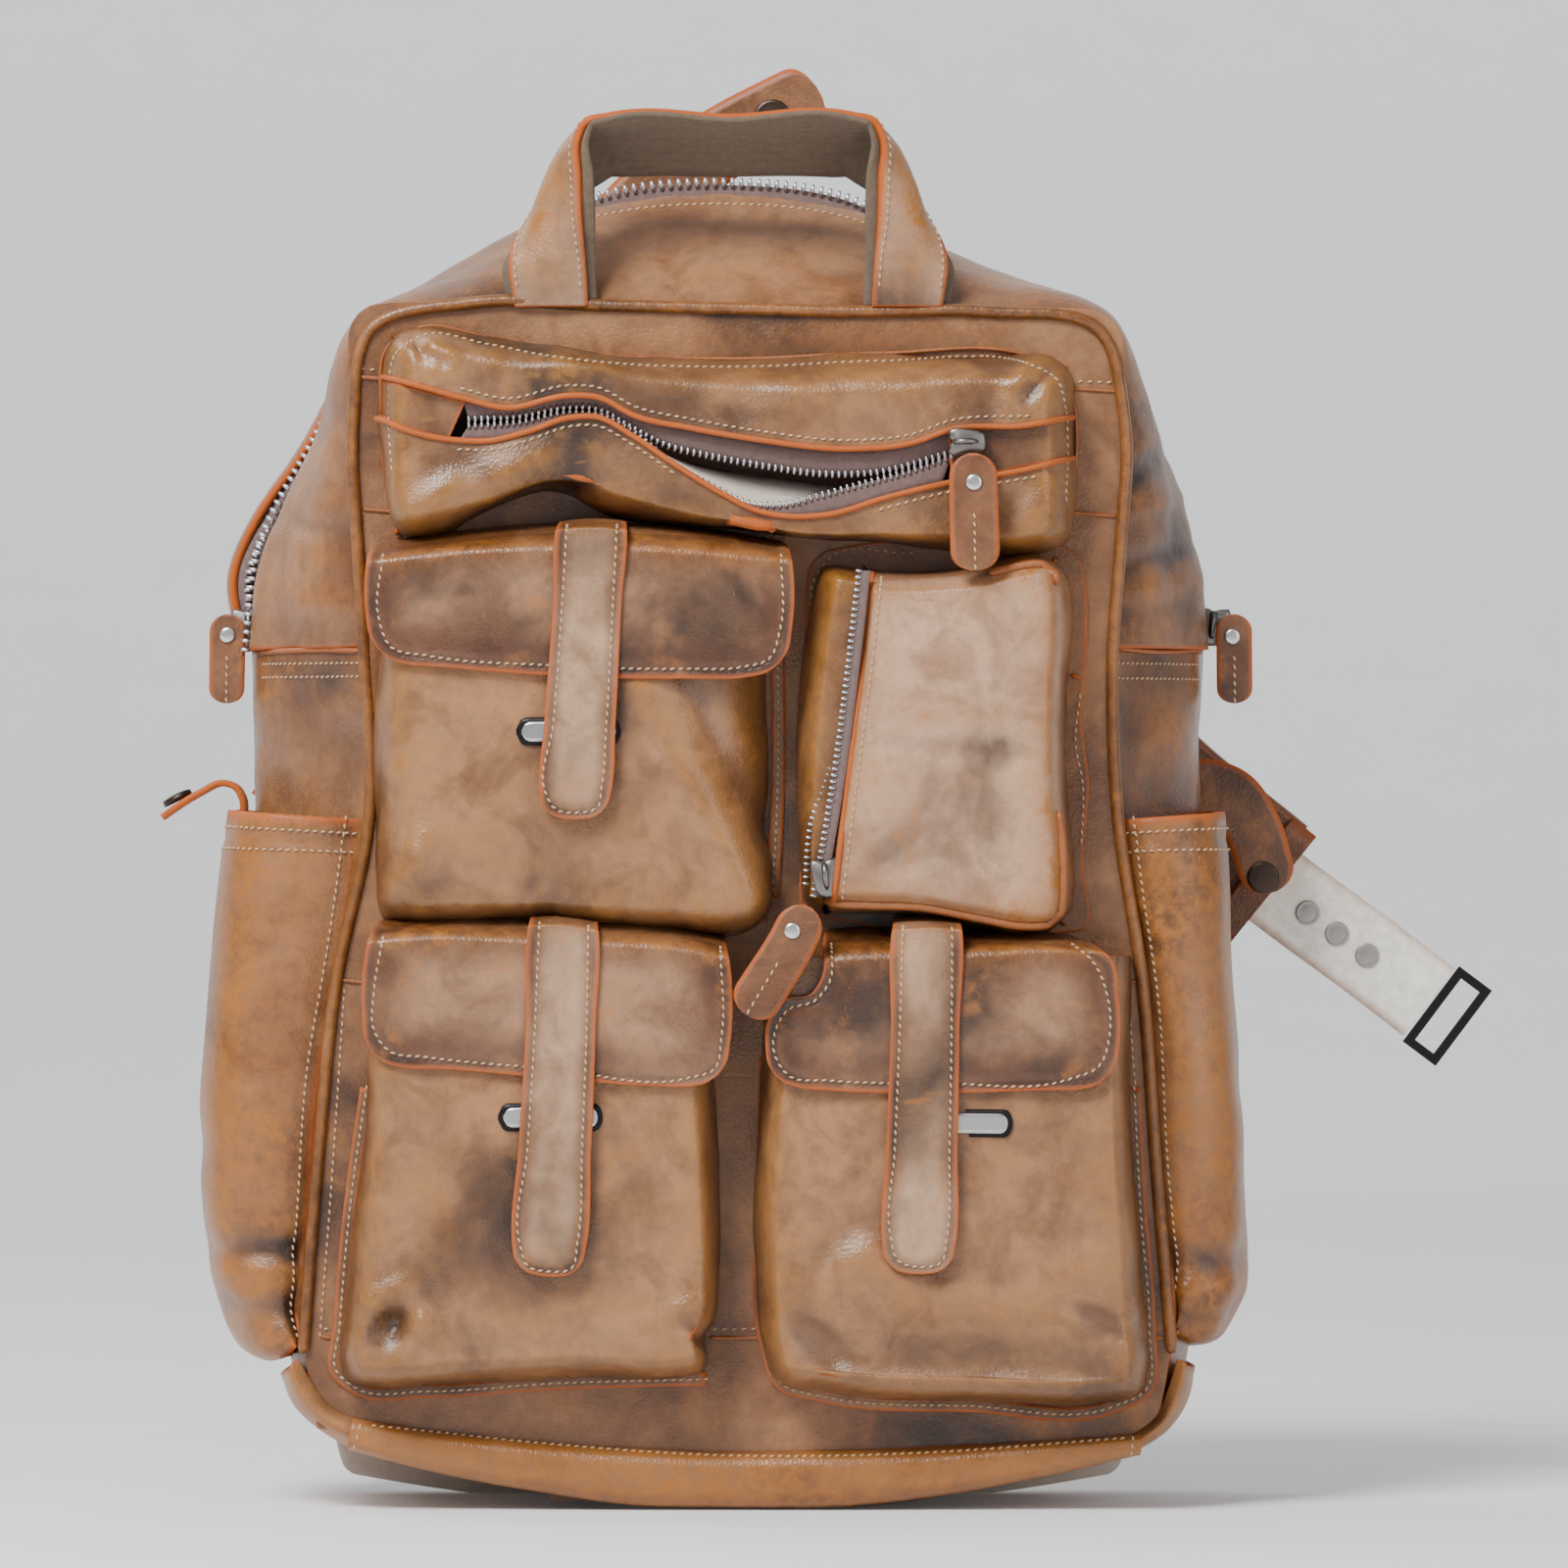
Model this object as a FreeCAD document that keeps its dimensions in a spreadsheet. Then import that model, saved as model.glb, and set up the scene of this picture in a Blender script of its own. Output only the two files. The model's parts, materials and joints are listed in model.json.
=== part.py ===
"""A leather backpack standing on its base: front towards -Y, +Z up, millimetres.

The bag is cut and sewn from panels round an arch: a front panel, an arched gusset closed by a two-way zip,
side gussets, a base and a back panel. Zip pockets, flap pockets and side pockets are sewn on the outside,
and two shoulder straps hang from a yoke on the back. The origin is the middle of the base, on the ground.
"""
import FreeCAD, Part
import math
import os
import re

import Sketcher
from FreeCAD import Vector

doc = FreeCAD.newDocument("leather_backpack")
sheet = doc.addObject("Spreadsheet::Sheet", "Sizes")

SIZES = {
    # leather and hardware
    "wall": 2.4,              # a leather panel with its lining
    "skin": 1.6,              # a thin single layer
    "clearance": 0.3,         # between pieces that move past each other
    "fold_gap": 1.0,          # left open where a flap folds
    # main body
    "front_y": -55,           # back of the front panel
    "zip_y": 13,              # middle of the main zip
    "lip_spread": 13,         # from the middle of the zip to where the gusset starts to fall away
    "back_y": 50,             # inside of the back panel
    "lip_gap": 20,            # between the two leather edges of the open main zip
    "tape_width": 7,          # of the zip tape that shows, teeth included
    "arch_z": 280,            # centre of the arch that the main zip follows
    "arch_radius": 164,
    "lip_drop": 5,
    "back_drop": 18,
    "seam_rise": 6,           # the main zip ends this far above the centre of its arch, on both sides
    "side_low": 150,          # half width low down, at the middle of the depth
    "front_side_drop": 5,
    "back_side_drop": 12,
    "side_low_z": 60,
    "corner_x": 125,          # where the base turns up into the corners
    "corner_z": 20,
    "base_flat": 60,
    "front_half_top": 127,
    "front_top_z": 400,
    "front_corner": 25,
    "piping_radius": 2,
    "board_thick": 2.5,
    "divider_thick": 6,
    "divider_top": 300,
    "divider_gap": 12,        # between the divider and the back panel
    "pad_thick": 5, "pad_half": 100, "pad_groove": 8, "pad_low_bottom": 90, "pad_low_top": 196,
    "pad_high_bottom": 210, "pad_high_top": 350,
    # flap pockets, in two rows under the top pocket
    "pocket_depth": 32,
    "pocket_round": 5,
    "mouth_height": 20,
    "flap_round": 14,
    "strap_width": 23,
    "strap_round": 10,
    "plate_length": 31,
    "plate_height": 6,
    "plate_thick": 1.4,
    "row_gap": 6,
    "upper_row_height": 123,
    "rows_apart": 10,
    "upper_left_left": -117, "upper_left_right": 16,
    "upper_left_flap_left": -119, "upper_left_flap_right": 20, "upper_left_flap_drop": 40,
    "upper_left_strap_top": -46, "upper_left_strap_foot": -51, "upper_left_strap_drop": 89,
    "upper_left_plate": -53, "upper_left_plate_drop": 59,
    "lower_left_bottom": 40, "lower_left_left": -127, "lower_left_right": -6,
    "lower_left_flap_left": -121, "lower_left_flap_right": -0.5, "lower_left_flap_drop": 43,
    "lower_left_strap_top": -55, "lower_left_strap_foot": -61, "lower_left_strap_drop": 107,
    "lower_left_plate": -59, "lower_left_plate_drop": 53,
    "lower_right_bottom": 36, "lower_right_left": 13, "lower_right_right": 137,
    "lower_right_flap_left": 17, "lower_right_flap_right": 128, "lower_right_flap_drop": 45,
    "lower_right_strap_top": 65, "lower_right_strap_foot": 62, "lower_right_strap_drop": 105,
    "lower_right_plate": 76, "lower_right_plate_drop": 55,
    "notch_width": 18, "notch_height": 20,   # the flap's corner cut away beside the zip pull
    # top pocket, with its zip across
    "top_left": -116, "top_right": 115, "top_margin": 8, "top_height": 69, "top_depth": 30,
    "top_zip_left": -80, "top_zip_right": 84, "top_zip_drop": 38,
    # zip pocket on the right, with its zip up the left edge
    "zip_pocket_left": 24, "zip_pocket_right": 118, "zip_pocket_drop": 2, "zip_pocket_depth": 34,
    "backing_margin": 3,
    "zip_foot_inset": 7, "zip_head_inset": 19, "zip_end_inset": 9,
    "chain_gap": 5,           # between the two rows of teeth of an open pocket zip
    "pocket_tape": 3,
    # side pockets
    "left_bulge": 14, "right_bulge": 11, "side_pocket_front": -50, "side_pocket_back": 35,
    "side_pocket_bottom": 49, "side_pocket_top": 232,
    # zip sliders and pulls
    "slider_length": 12, "slider_width": 9, "slider_thick": 2, "slider_neck": 3, "bail": 3,
    "main_slider_angle": 5,
    "pull_thick": 2.4, "pull_head": 12, "pull_foot": 17, "pull_length": 40, "rivet_radius": 2.6,
    "rivet_stand": 0.9, "zip_pull_lean": 33, "main_pull_length": 30, "main_pull_head": 10,
    "main_pull_foot": 12.5, "main_pull_rise": 18,
    # top handle
    "handle_left": -60, "handle_right": 58, "handle_rise": 55, "grip_front": 10, "grip_back": 18,
    "webbing_width": 33, "handle_leather_width": 26,
    # closing tab on the back, and the snaps
    "tab_width": 26, "tab_fold_z": 409, "snap_radius": 6.5, "side_snap_radius": 5.5, "snap_thick": 2,
    # side straps
    "side_strap_width": 20, "side_strap_root": 3,
    # shoulder straps and their fittings
    "yoke_half": 62, "yoke_bottom": 372, "yoke_top": 404, "seat_height": 12,
    "shoulder_thick": 8, "shoulder_width": 46, "adjuster_width": 29,
    "loop_wire": 3, "loop_depth": 14, "ring_radius": 11, "ring_wire": 1.8, "ring_x": 128, "ring_z": 32,
    "ring_tab_width": 11, "ring_tab_top": 62,
}

# Places that follow from the sizes, each a formula over the sheet.
PLACES = {
    "panel_face": "front_y - wall",
    "back_face": "back_y + wall",
    "seam_z": "arch_z + seam_rise",
    "lip_radius": "arch_radius - lip_drop",
    "back_radius": "arch_radius - back_drop",
    "lip_front_y": "zip_y - lip_spread",
    "lip_back_y": "zip_y + lip_spread",
    "lip_edge_front": "zip_y - lip_gap / 2",
    "lip_edge_back": "zip_y + lip_gap / 2",
    "divider_front": "back_y - divider_gap - divider_thick",
    "pocket_face": "panel_face - pocket_depth",
    "flap_back": "pocket_face - clearance",
    "flap_face": "flap_back - wall",
    "strap_face": "flap_face - wall",
    "top_top": "front_top_z - top_margin",
    "top_bottom": "top_top - top_height",
    "top_face": "panel_face - top_depth",
    "top_zip_z": "top_top - top_zip_drop",
    "upper_row_top": "top_bottom - row_gap",
    "upper_row_bottom": "upper_row_top - upper_row_height",
    "lower_row_top": "upper_row_bottom - rows_apart",
    "upper_left_top": "upper_row_top",
    "upper_left_bottom": "upper_row_bottom",
    "lower_left_top": "lower_row_top",
    "lower_right_top": "lower_row_top",
    "backing_face": "panel_face - skin",
    "zip_face": "backing_face - zip_pocket_depth",
    "zip_pocket_top": "upper_row_top - zip_pocket_drop",
    "zip_foot_x": "zip_pocket_left + zip_foot_inset",
    "zip_head_x": "zip_pocket_left + zip_head_inset",
    "zip_foot_z": "upper_row_bottom + zip_end_inset",
    "zip_head_z": "zip_pocket_top - zip_end_inset",
    "half_slot": "chain_gap / 2 + pocket_tape",
    "handle_foot_z": "front_top_z + 2 * piping_radius + wall + clearance",
    "handle_top_z": "handle_foot_z + handle_rise",
    "handle_leg_y": "front_y - skin / 2",
    "top_pull_back": "min(strap_face; top_face) - 2 * clearance",
    "zip_pull_back": "zip_face - clearance - slider_thick",
    "main_pull_back": "zip_y - slider_width / 2 - bail",
    "slider_outside": "arch_radius + 1",
    "slider_inside": "arch_radius - wall - 3",
    "tab_back": "back_face + wall",
    "shoulder_y": "back_face + max(2 * wall + clearance; pad_thick) + clearance",
    "adjuster_y": "shoulder_y + shoulder_thick / 2",
    "left_pocket_out": "-(arch_radius + left_bulge)",
    "right_pocket_out": "arch_radius + right_bulge",
}

for row, (alias, value) in enumerate(SIZES.items(), start=1):
    sheet.set(f"A{row}", alias)
    sheet.set(f"B{row}", str(value))
    sheet.setAlias(f"B{row}", alias)
doc.recompute()

pieces = {}


def in_sheet(formula):
    """A formula over sizes and places, as an expression over the sheet."""
    def spelled(match):
        word = match[0]
        if word in PLACES:
            return f"({in_sheet(PLACES[word])})"
        return "Sizes." + word if word in SIZES else word
    return re.sub(r"[a-z_]+", spelled, str(formula))


def number(formula):
    """What a formula over sizes and places comes to."""
    return float(sheet.evalExpression(in_sheet(formula)))


def bind(thing, prop, formula):
    thing.setExpression(prop, in_sheet(formula))


def keep(label, thing):
    """Gives a finished piece the name that it is saved under."""
    thing.Label = label
    pieces[label] = thing
    return thing


def block(name, x, y, z):
    """A box between a low and a high formula along each axis."""
    box = doc.addObject("Part::Box", name)
    for axis, prop, (low, high) in (("x", "Length", x), ("y", "Width", y), ("z", "Height", z)):
        bind(box, prop, f"({high}) - ({low})")
        bind(box, f"Placement.Base.{axis}", low)
    return box


def turned(name, across, depth, up, origin, angle):
    """A box given the same way from an origin point, then turned about that point's Y axis."""
    box = doc.addObject("Part::Box", name)
    for prop, (low, high) in (("Length", across), ("Width", depth), ("Height", up)):
        bind(box, prop, f"({high}) - ({low})")
    turn = FreeCAD.Rotation(Vector(0, 1, 0), angle)
    low_corner = Vector(number(across[0]), number(depth[0]), number(up[0]))
    box.Placement = FreeCAD.Placement(origin + turn.multVec(low_corner), turn)
    return box


def joined(name, *shapes):
    fuse = doc.addObject("Part::MultiFuse", name)
    fuse.Shapes = list(shapes)
    return fuse


def less(name, base, *tools):
    """The base with the tools cut away."""
    cut = doc.addObject("Part::Cut", name)
    cut.Base = base
    cut.Tool = tools[0] if len(tools) == 1 else joined(name + "_tools", *tools)
    return cut


def common(name, base, tool):
    both = doc.addObject("Part::Common", name)
    both.Base = base
    both.Tool = tool
    return both


def rounded(name, base, radius, chosen):
    """Rounds the edges of the base that the chosen test picks."""
    doc.recompute()
    fillet = doc.addObject("Part::Fillet", name)
    fillet.Base = base
    picked = [n for n, edge in enumerate(base.Shape.Edges, start=1) if chosen(edge)]
    fillet.Edges = [(n, number(radius), number(radius)) for n in picked]
    return fillet


def along(edge, direction):
    line = edge.tangentAt(edge.FirstParameter)
    return len(edge.Vertexes) == 2 and abs(line.dot(direction)) > 0.999


def disc(name, radius, thick, centre, axis):
    """A round cap or rivet head."""
    cylinder = doc.addObject("Part::Cylinder", name)
    bind(cylinder, "Radius", radius)
    bind(cylinder, "Height", thick)
    cylinder.Placement = FreeCAD.Placement(centre, FreeCAD.Rotation(Vector(0, 0, 1), axis))
    return cylinder


def panel(label, corners, back, thick, rounds=()):
    """A flat piece facing -Y: (x, z) corners, the plane of its back, its thickness, (corner, radius) pairs."""
    body = doc.addObject("PartDesign::Body", label + "_body")
    sketch = body.newObject("Sketcher::SketchObject", label + "_outline")
    plane = next(f for f in body.Origin.OriginFeatures if f.Role == "XZ_Plane")
    sketch.AttachmentSupport = (plane, "")
    sketch.MapMode = "FlatFace"
    bind(sketch, "AttachmentOffset.Base.z", f"-({back})")
    points = [Vector(number(x), number(z), 0) for x, z in corners]
    for n, point in enumerate(points):
        sketch.addGeometry(Part.LineSegment(point, points[(n + 1) % len(points)]), False)
    for n in range(len(points)):
        sketch.addConstraint(Sketcher.Constraint("Coincident", n, 2, (n + 1) % len(points), 1))
    for n, formulas in enumerate(corners):
        for kind, formula, place in zip(("DistanceX", "DistanceY"), formulas, points[n]):
            index = sketch.addConstraint(Sketcher.Constraint(kind, -1, 1, n, 1, place))
            sketch.renameConstraint(index, f"corner{n}{kind[-1]}")
            bind(sketch, f"Constraints.corner{n}{kind[-1]}", formula)
    pad = body.newObject("PartDesign::Pad", label + "_pad")
    pad.Profile = sketch
    bind(pad, "Length", thick)
    doc.recompute()
    last = pad
    for corner, radius in rounds:
        at = points[corner]
        names = [
            f"Edge{n}" for n, edge in enumerate(last.Shape.Edges, start=1)
            if along(edge, Vector(0, 1, 0))
            and math.hypot(edge.CenterOfMass.x - at.x, edge.CenterOfMass.z - at.y) < 0.01
        ]
        fillet = body.newObject("PartDesign::Fillet", f"{label}_round{corner}")
        fillet.Base = (last, names)
        bind(fillet, "Radius", radius)
        doc.recompute()
        last = fillet
    return body


def feature(name, shape):
    """A shape that only Part's own functions make."""
    made = doc.addObject("Part::Feature", name)
    made.Shape = shape
    return made


# ---------------------------------------------------------------- main body: an arched tube of leather

def arc_through(start, middle, end, y):
    return Part.Arc(*[Vector(x, y, z) for x, z in (start, middle, end)]).toShape()


def line_between(start, end, y):
    return Part.LineSegment(*[Vector(x, y, z) for x, z in (start, end)]).toShape()


def low_arcs(side_low, inset):
    """The base's slow curve and the tight corner, from the flat of the base up to the straight side."""
    flat = number("base_flat")
    corner = (number("corner_x") - 0.5 * inset, number("corner_z") + 0.85 * inset)
    side = (side_low - inset, number("side_low_z"))
    rise, run = corner[1] - inset, corner[0] - flat
    slow = (run * run + rise * rise) / (2 * rise)
    turn = math.asin(run / slow) / 2
    slow_middle = (flat + slow * math.sin(turn), inset + slow * (1 - math.cos(turn)))
    rise, run = side[1] - corner[1], side[0] - corner[0]
    tight = (run * run + rise * rise) / (2 * run)
    turn = math.asin(rise / tight) / 2
    tight_middle = (side[0] - tight * (1 - math.cos(turn)), side[1] - tight * math.sin(turn))
    return [((flat, inset), slow_middle, corner), (corner, tight_middle, side)]


def outline(y, side_low, shoulder, top_middle, inset):
    """A section of the body: the base's flat, two arcs, a straight side and a shoulder arc each way, the top."""
    mirrored = lambda points: tuple((-x, z) for x, z in reversed(points))
    right_arcs = low_arcs(side_low, inset)
    flat, side = right_arcs[0][0], right_arcs[1][2]
    top_right, top_left = shoulder[2], (-shoulder[2][0], shoulder[2][1])
    edges = [line_between((-flat[0], flat[1]), flat, y)]
    edges += [arc_through(*points, y) for points in right_arcs]
    edges += [line_between(side, shoulder[0], y), arc_through(*shoulder, y)]
    if top_middle:
        edges.append(arc_through(top_right, top_middle, top_left, y))
    else:
        edges.append(line_between(top_right, top_left, y))
    edges += [arc_through(*mirrored(shoulder), y)]
    edges += [line_between((-shoulder[0][0], shoulder[0][1]), (-side[0], side[1]), y)]
    edges += [arc_through(*mirrored(points), y) for points in reversed(right_arcs)]
    return Part.Wire(edges)


def front_section(inset):
    """The front panel's outline: straight across the top, with round corners."""
    half, top = number("front_half_top") - inset, number("front_top_z") - inset
    corner = number("front_corner") - inset
    centre = (half - corner, top - corner)
    reach = corner * math.sqrt(0.5)
    shoulder = ((half, centre[1]), (centre[0] + reach, centre[1] + reach), (centre[0], top))
    return outline(number("front_y"), number("side_low - front_side_drop"), shoulder, None, inset)


def arch_section(y, radius, side_low, inset):
    """A section under the arch, whose whole top is one circle."""
    radius -= inset
    arch_z = number("arch_z")
    at = lambda degrees: (
        radius * math.cos(math.radians(degrees)), arch_z + radius * math.sin(math.radians(degrees)))
    return outline(y, side_low, (at(0), at(30), at(60)), at(90), inset)


# Stations back along the arch: (y, radius, half width low down).
STATIONS = [
    tuple(number(formula) for formula in station) for station in (
        ("lip_front_y", "lip_radius", "side_low"),
        ("zip_y", "arch_radius", "side_low"),
        ("lip_back_y", "lip_radius", "side_low"),
        ("back_y", "back_radius", "side_low - back_side_drop"),
    )
]


def body_form(inset):
    """The body as a solid, taken in all round by the inset."""
    sections = [front_section(inset)] + [arch_section(*station, inset) for station in STATIONS]
    return Part.makeLoft(sections, True, True)


def side_at(y, z):
    """Half the body's width under the arch's centre, where the sides are straight."""
    after = next(n for n, station in enumerate(STATIONS) if n and station[0] >= y)
    (y0, radius0, low0), (y1, radius1, low1) = STATIONS[after - 1], STATIONS[after]
    along_y = (y - y0) / (y1 - y0)
    radius, low = radius0 + (radius1 - radius0) * along_y, low0 + (low1 - low0) * along_y
    up = (z - number("side_low_z")) / number("arch_z - side_low_z")
    return low + (radius - low) * up


def plate_of(wire, thick):
    return Part.Face(wire).extrude(Vector(0, thick, 0))


wall = number("wall")
form = feature("body_form", body_form(0))
hollow = feature("body_hollow", body_form(wall))
tube = feature("body_tube", form.Shape.cut(hollow.Shape))
front_plate = feature("front_plate", plate_of(front_section(0), -wall))
back_plate = feature("back_plate", plate_of(arch_section(*STATIONS[-1], 0), wall))

across = ("-2 * arch_radius", "2 * arch_radius")
above_seam = ("seam_z", "3 * arch_radius")
below = "-corner_z"
upper_zone = block("upper_zone", across, ("front_y", "lip_edge_front"), above_seam)
rear_zone = block("rear_zone", across, ("lip_edge_back", "back_y"), above_seam)
tape_zones = {
    "front": block("tape_front_zone", across, ("lip_edge_front", "lip_edge_front + tape_width"), above_seam),
    "back": block("tape_back_zone", across, ("lip_edge_back - tape_width", "lip_edge_back"), above_seam),
}
base_top = "corner_z * 1.5"
base_zone = block("base_zone", ("-corner_x", "corner_x"), ("panel_face", "back_face"), (below, base_top))
lip_zone = block("lip_zone", across, ("panel_face", "front_y"), (below, "corner_z"))
panel_zone = block("panel_zone", across, ("panel_face", "front_y"), ("corner_z", "3 * arch_radius"))
side_zones = {
    "left": block("left_zone", (across[0], "0"), ("front_y", "back_y"), (below, "seam_z")),
    "right": block("right_zone", ("0", across[1]), ("front_y", "back_y"), (below, "seam_z")),
}

keep("front_panel", common("front_panel_cut", front_plate, panel_zone))
keep("back_panel", back_plate)
keep("upper_gusset", common("upper_gusset_cut", tube, upper_zone))
keep("back_gusset", common("back_gusset_cut", tube, rear_zone))
for name, zone in tape_zones.items():
    keep(f"main_zip_{name}", common(f"main_zip_{name}_cut", tube, zone))
for name, zone in side_zones.items():
    keep(f"{name}_gusset", less(f"{name}_gusset_cut", common(f"{name}_side", tube, zone), base_zone))
keep("base_panel", joined(
    "base_panel_join", common("base_tube", tube, base_zone), common("base_lip", front_plate, lip_zone)))
keep("base_board", block(
    "base_board_box", ("-base_flat", "base_flat"), ("front_y + wall", "divider_front - clearance"),
    ("wall", "wall + board_thick")))
divider_zone = block(
    "divider_zone", across, ("divider_front", "divider_front + divider_thick"), (below, "divider_top"))
keep("laptop_divider", common("laptop_divider_cut", hollow, divider_zone))
pad_y = ("back_face", "back_face + pad_thick")
keep("back_pads", joined(
    "back_pads_join",
    block("pad_left", ("-pad_half", "-pad_groove"), pad_y, ("pad_high_bottom", "pad_high_top")),
    block("pad_right", ("pad_groove", "pad_half"), pad_y, ("pad_high_bottom", "pad_high_top")),
    block("pad_low", ("-pad_half", "pad_half"), pad_y, ("pad_low_bottom", "pad_low_top")),
))

# A thin cord sewn into the seam round the front panel, from one base corner over the top to the other.
piping_path = front_section(0).makeOffset2D(number("piping_radius"), 0, False, False, True)
piping_path.translate(Vector(0, -number("piping_radius"), 0))
first = min(piping_path.Edges, key=lambda edge: abs(edge.valueAt(edge.FirstParameter).z - number("arch_z")))
start = first.valueAt(first.FirstParameter)
ring = Part.Wire(Part.makeCircle(number("piping_radius"), start, first.tangentAt(first.FirstParameter)))
piping = Part.Wire(Part.__sortEdges__(piping_path.Edges)).makePipeShell([ring], True, False)
keep("front_piping", less(
    "front_piping_cut", feature("piping_form", piping),
    block("piping_end", across, ("2 * front_y", "back_y"), (below, "side_low_z - 2 * wall"))))


# ---------------------------------------------------------------- pockets on the front panel

def hollow_pocket(name, x, z, face, back):
    """A pocket's outer form, rounded at the front, and the space inside it; the panel behind closes it."""
    outer = block(name + "_outer", x, (face, back), z)
    at_front = lambda edge: edge.BoundBox.YMax < number(face) + 0.01 or along(edge, Vector(0, 1, 0))
    outer = rounded(name + "_rounded", outer, "pocket_round", at_front)
    inner = block(
        name + "_inner", (f"{x[0]} + wall", f"{x[1]} - wall"), (f"{face} + wall", f"{back} + wall"),
        (f"{z[0]} + wall", f"{z[1]} - wall"))
    return outer, inner


def flap_pocket(name):
    """A pocket with its mouth high in the front wall, the flap over the mouth and the strap down the flap."""
    bottom, top = f"{name}_bottom", f"{name}_top"
    outer, inner = hollow_pocket(
        name, (f"{name}_left", f"{name}_right"), (bottom, top), "pocket_face", "panel_face")
    mouth = block(
        name + "_mouth", (f"{name}_left + wall", f"{name}_right - wall"),
        ("pocket_face - wall", "pocket_face + 2 * wall"), (f"{top} - wall - mouth_height", f"{top} - wall"))
    keep(f"{name}_pocket", less(name + "_pocket_cut", outer, inner, mouth))
    left, right, foot = f"{name}_flap_left", f"{name}_flap_right", f"{top} - {name}_flap_drop"
    flap_top = f"{top} + wall"
    corners = [(left, foot), (right, foot), (right, flap_top), (left, flap_top)]
    if name == "lower_right":
        corners[3:] = [(f"{left} + notch_width", flap_top), (left, f"{flap_top} - notch_height")]
    rounds = [(0, "flap_round"), (1, "flap_round")]
    keep(f"{name}_flap", panel(f"{name}_flap", corners, "flap_back", "wall", rounds))
    foot, half = f"{top} - {name}_strap_drop", "strap_width / 2"
    low, high = f"{name}_strap_foot", f"{name}_strap_top"
    keep(f"{name}_strap", panel(
        f"{name}_strap",
        [(f"{low} - {half}", foot), (f"{low} + {half}", foot), (f"{high} + {half}", flap_top),
         (f"{high} - {half}", flap_top)],
        "flap_face", "wall", [(0, "strap_round"), (1, "strap_round")]))
    fold = block(name + "_fold", (left, right), ("pocket_face + fold_gap", "panel_face"), (top, flap_top))
    middle = f"{top} - {name}_plate_drop"
    plate = block(
        name + "_plate", (f"{name}_plate - plate_length / 2", f"{name}_plate + plate_length / 2"),
        ("pocket_face - plate_thick", "pocket_face"),
        (f"{middle} - plate_height / 2", f"{middle} + plate_height / 2"))
    return fold, plate


folds, plates = zip(*[flap_pocket(name) for name in ("upper_left", "lower_left", "lower_right")])
keep("flap_folds", joined("flap_folds_join", *folds))
keep("closure_plates", joined("closure_plates_join", *plates))

# The top pocket and its zip.
outer, inner = hollow_pocket(
    "top", ("top_left", "top_right"), ("top_bottom", "top_top"), "top_face", "panel_face")
slot_x, slot_z = ("top_zip_left", "top_zip_right"), ("top_zip_z - half_slot", "top_zip_z + half_slot")
slot = block("top_slot", slot_x, ("top_face - wall", "top_face + 2 * wall"), slot_z)
keep("top_pocket", less("top_pocket_cut", outer, inner, slot))
tape_y = ("top_face", "top_face + skin")
keep("top_pocket_zip", joined(
    "top_pocket_zip_join",
    block("top_tape_low", slot_x, tape_y, (slot_z[0], f"{slot_z[0]} + pocket_tape")),
    block("top_tape_high", slot_x, tape_y, (f"{slot_z[1]} - pocket_tape", slot_z[1])),
))

# The zip pocket on its backing patch, with its zip leaning up the left edge.
margin_x = ("zip_pocket_left - backing_margin", "zip_pocket_right + backing_margin")
margin_z = ("upper_row_bottom - backing_margin", "zip_pocket_top + backing_margin")
keep("zip_pocket_backing", panel(
    "zip_pocket_backing",
    [(margin_x[0], margin_z[0]), (margin_x[1], margin_z[0]), (margin_x[1], margin_z[1]),
     (margin_x[0], margin_z[1])],
    "panel_face", "skin", [(2, "flap_round"), (3, "flap_round")]))
outer, inner = hollow_pocket(
    "zip_pocket", ("zip_pocket_left", "zip_pocket_right"), ("upper_row_bottom", "zip_pocket_top"),
    "zip_face", "backing_face")
zip_foot = Vector(number("zip_foot_x"), 0, number("zip_foot_z"))
zip_way = Vector(number("zip_head_x"), 0, number("zip_head_z")) - zip_foot
zip_lean = math.degrees(math.atan2(zip_way.x, zip_way.z))
zip_run = ("0", "sqrt((zip_head_x - zip_foot_x) ^ 2 + (zip_head_z - zip_foot_z) ^ 2)")
slot_y = ("zip_face - wall", "zip_face + 2 * wall")
slot = turned("zip_slot", ("-half_slot", "half_slot"), slot_y, zip_run, zip_foot, zip_lean)
keep("zip_pocket", less("zip_pocket_cut", outer, inner, slot))
tape_y = ("zip_face", "zip_face + skin")
keep("zip_pocket_zip", joined(
    "zip_pocket_zip_join",
    turned("zip_tape_left", ("-half_slot", "pocket_tape - half_slot"), tape_y, zip_run, zip_foot, zip_lean),
    turned("zip_tape_right", ("half_slot - pocket_tape", "half_slot"), tape_y, zip_run, zip_foot, zip_lean),
))


# ---------------------------------------------------------------- side pockets, sewn on the gussets

for side, ends, wall_ends in (
    ("left", ("left_pocket_out", "-front_half_top"), ("left_pocket_out + wall", "-front_half_top")),
    ("right", ("front_half_top", "right_pocket_out"), ("front_half_top", "right_pocket_out - wall")),
):
    outer = block(
        f"{side}_bellows", ends, ("side_pocket_front", "side_pocket_back"),
        ("side_pocket_bottom", "side_pocket_top"))
    out_x, mouth_z = number(f"{side}_pocket_out"), number("side_pocket_top")
    outside = lambda edge: all(abs(v.X - out_x) < 0.01 for v in edge.Vertexes)
    outer = rounded(
        f"{side}_bellows_rounded", outer, "pocket_round",
        lambda edge: outside(edge) and edge.BoundBox.ZMin < mouth_z - 0.01)
    inner = block(
        f"{side}_bellows_inner", wall_ends, ("side_pocket_front + wall", "side_pocket_back - wall"),
        ("side_pocket_bottom + wall", "side_pocket_top + wall"))
    keep(f"{side}_side_pocket", less(f"{side}_side_pocket_cut", outer, inner, form))


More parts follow.
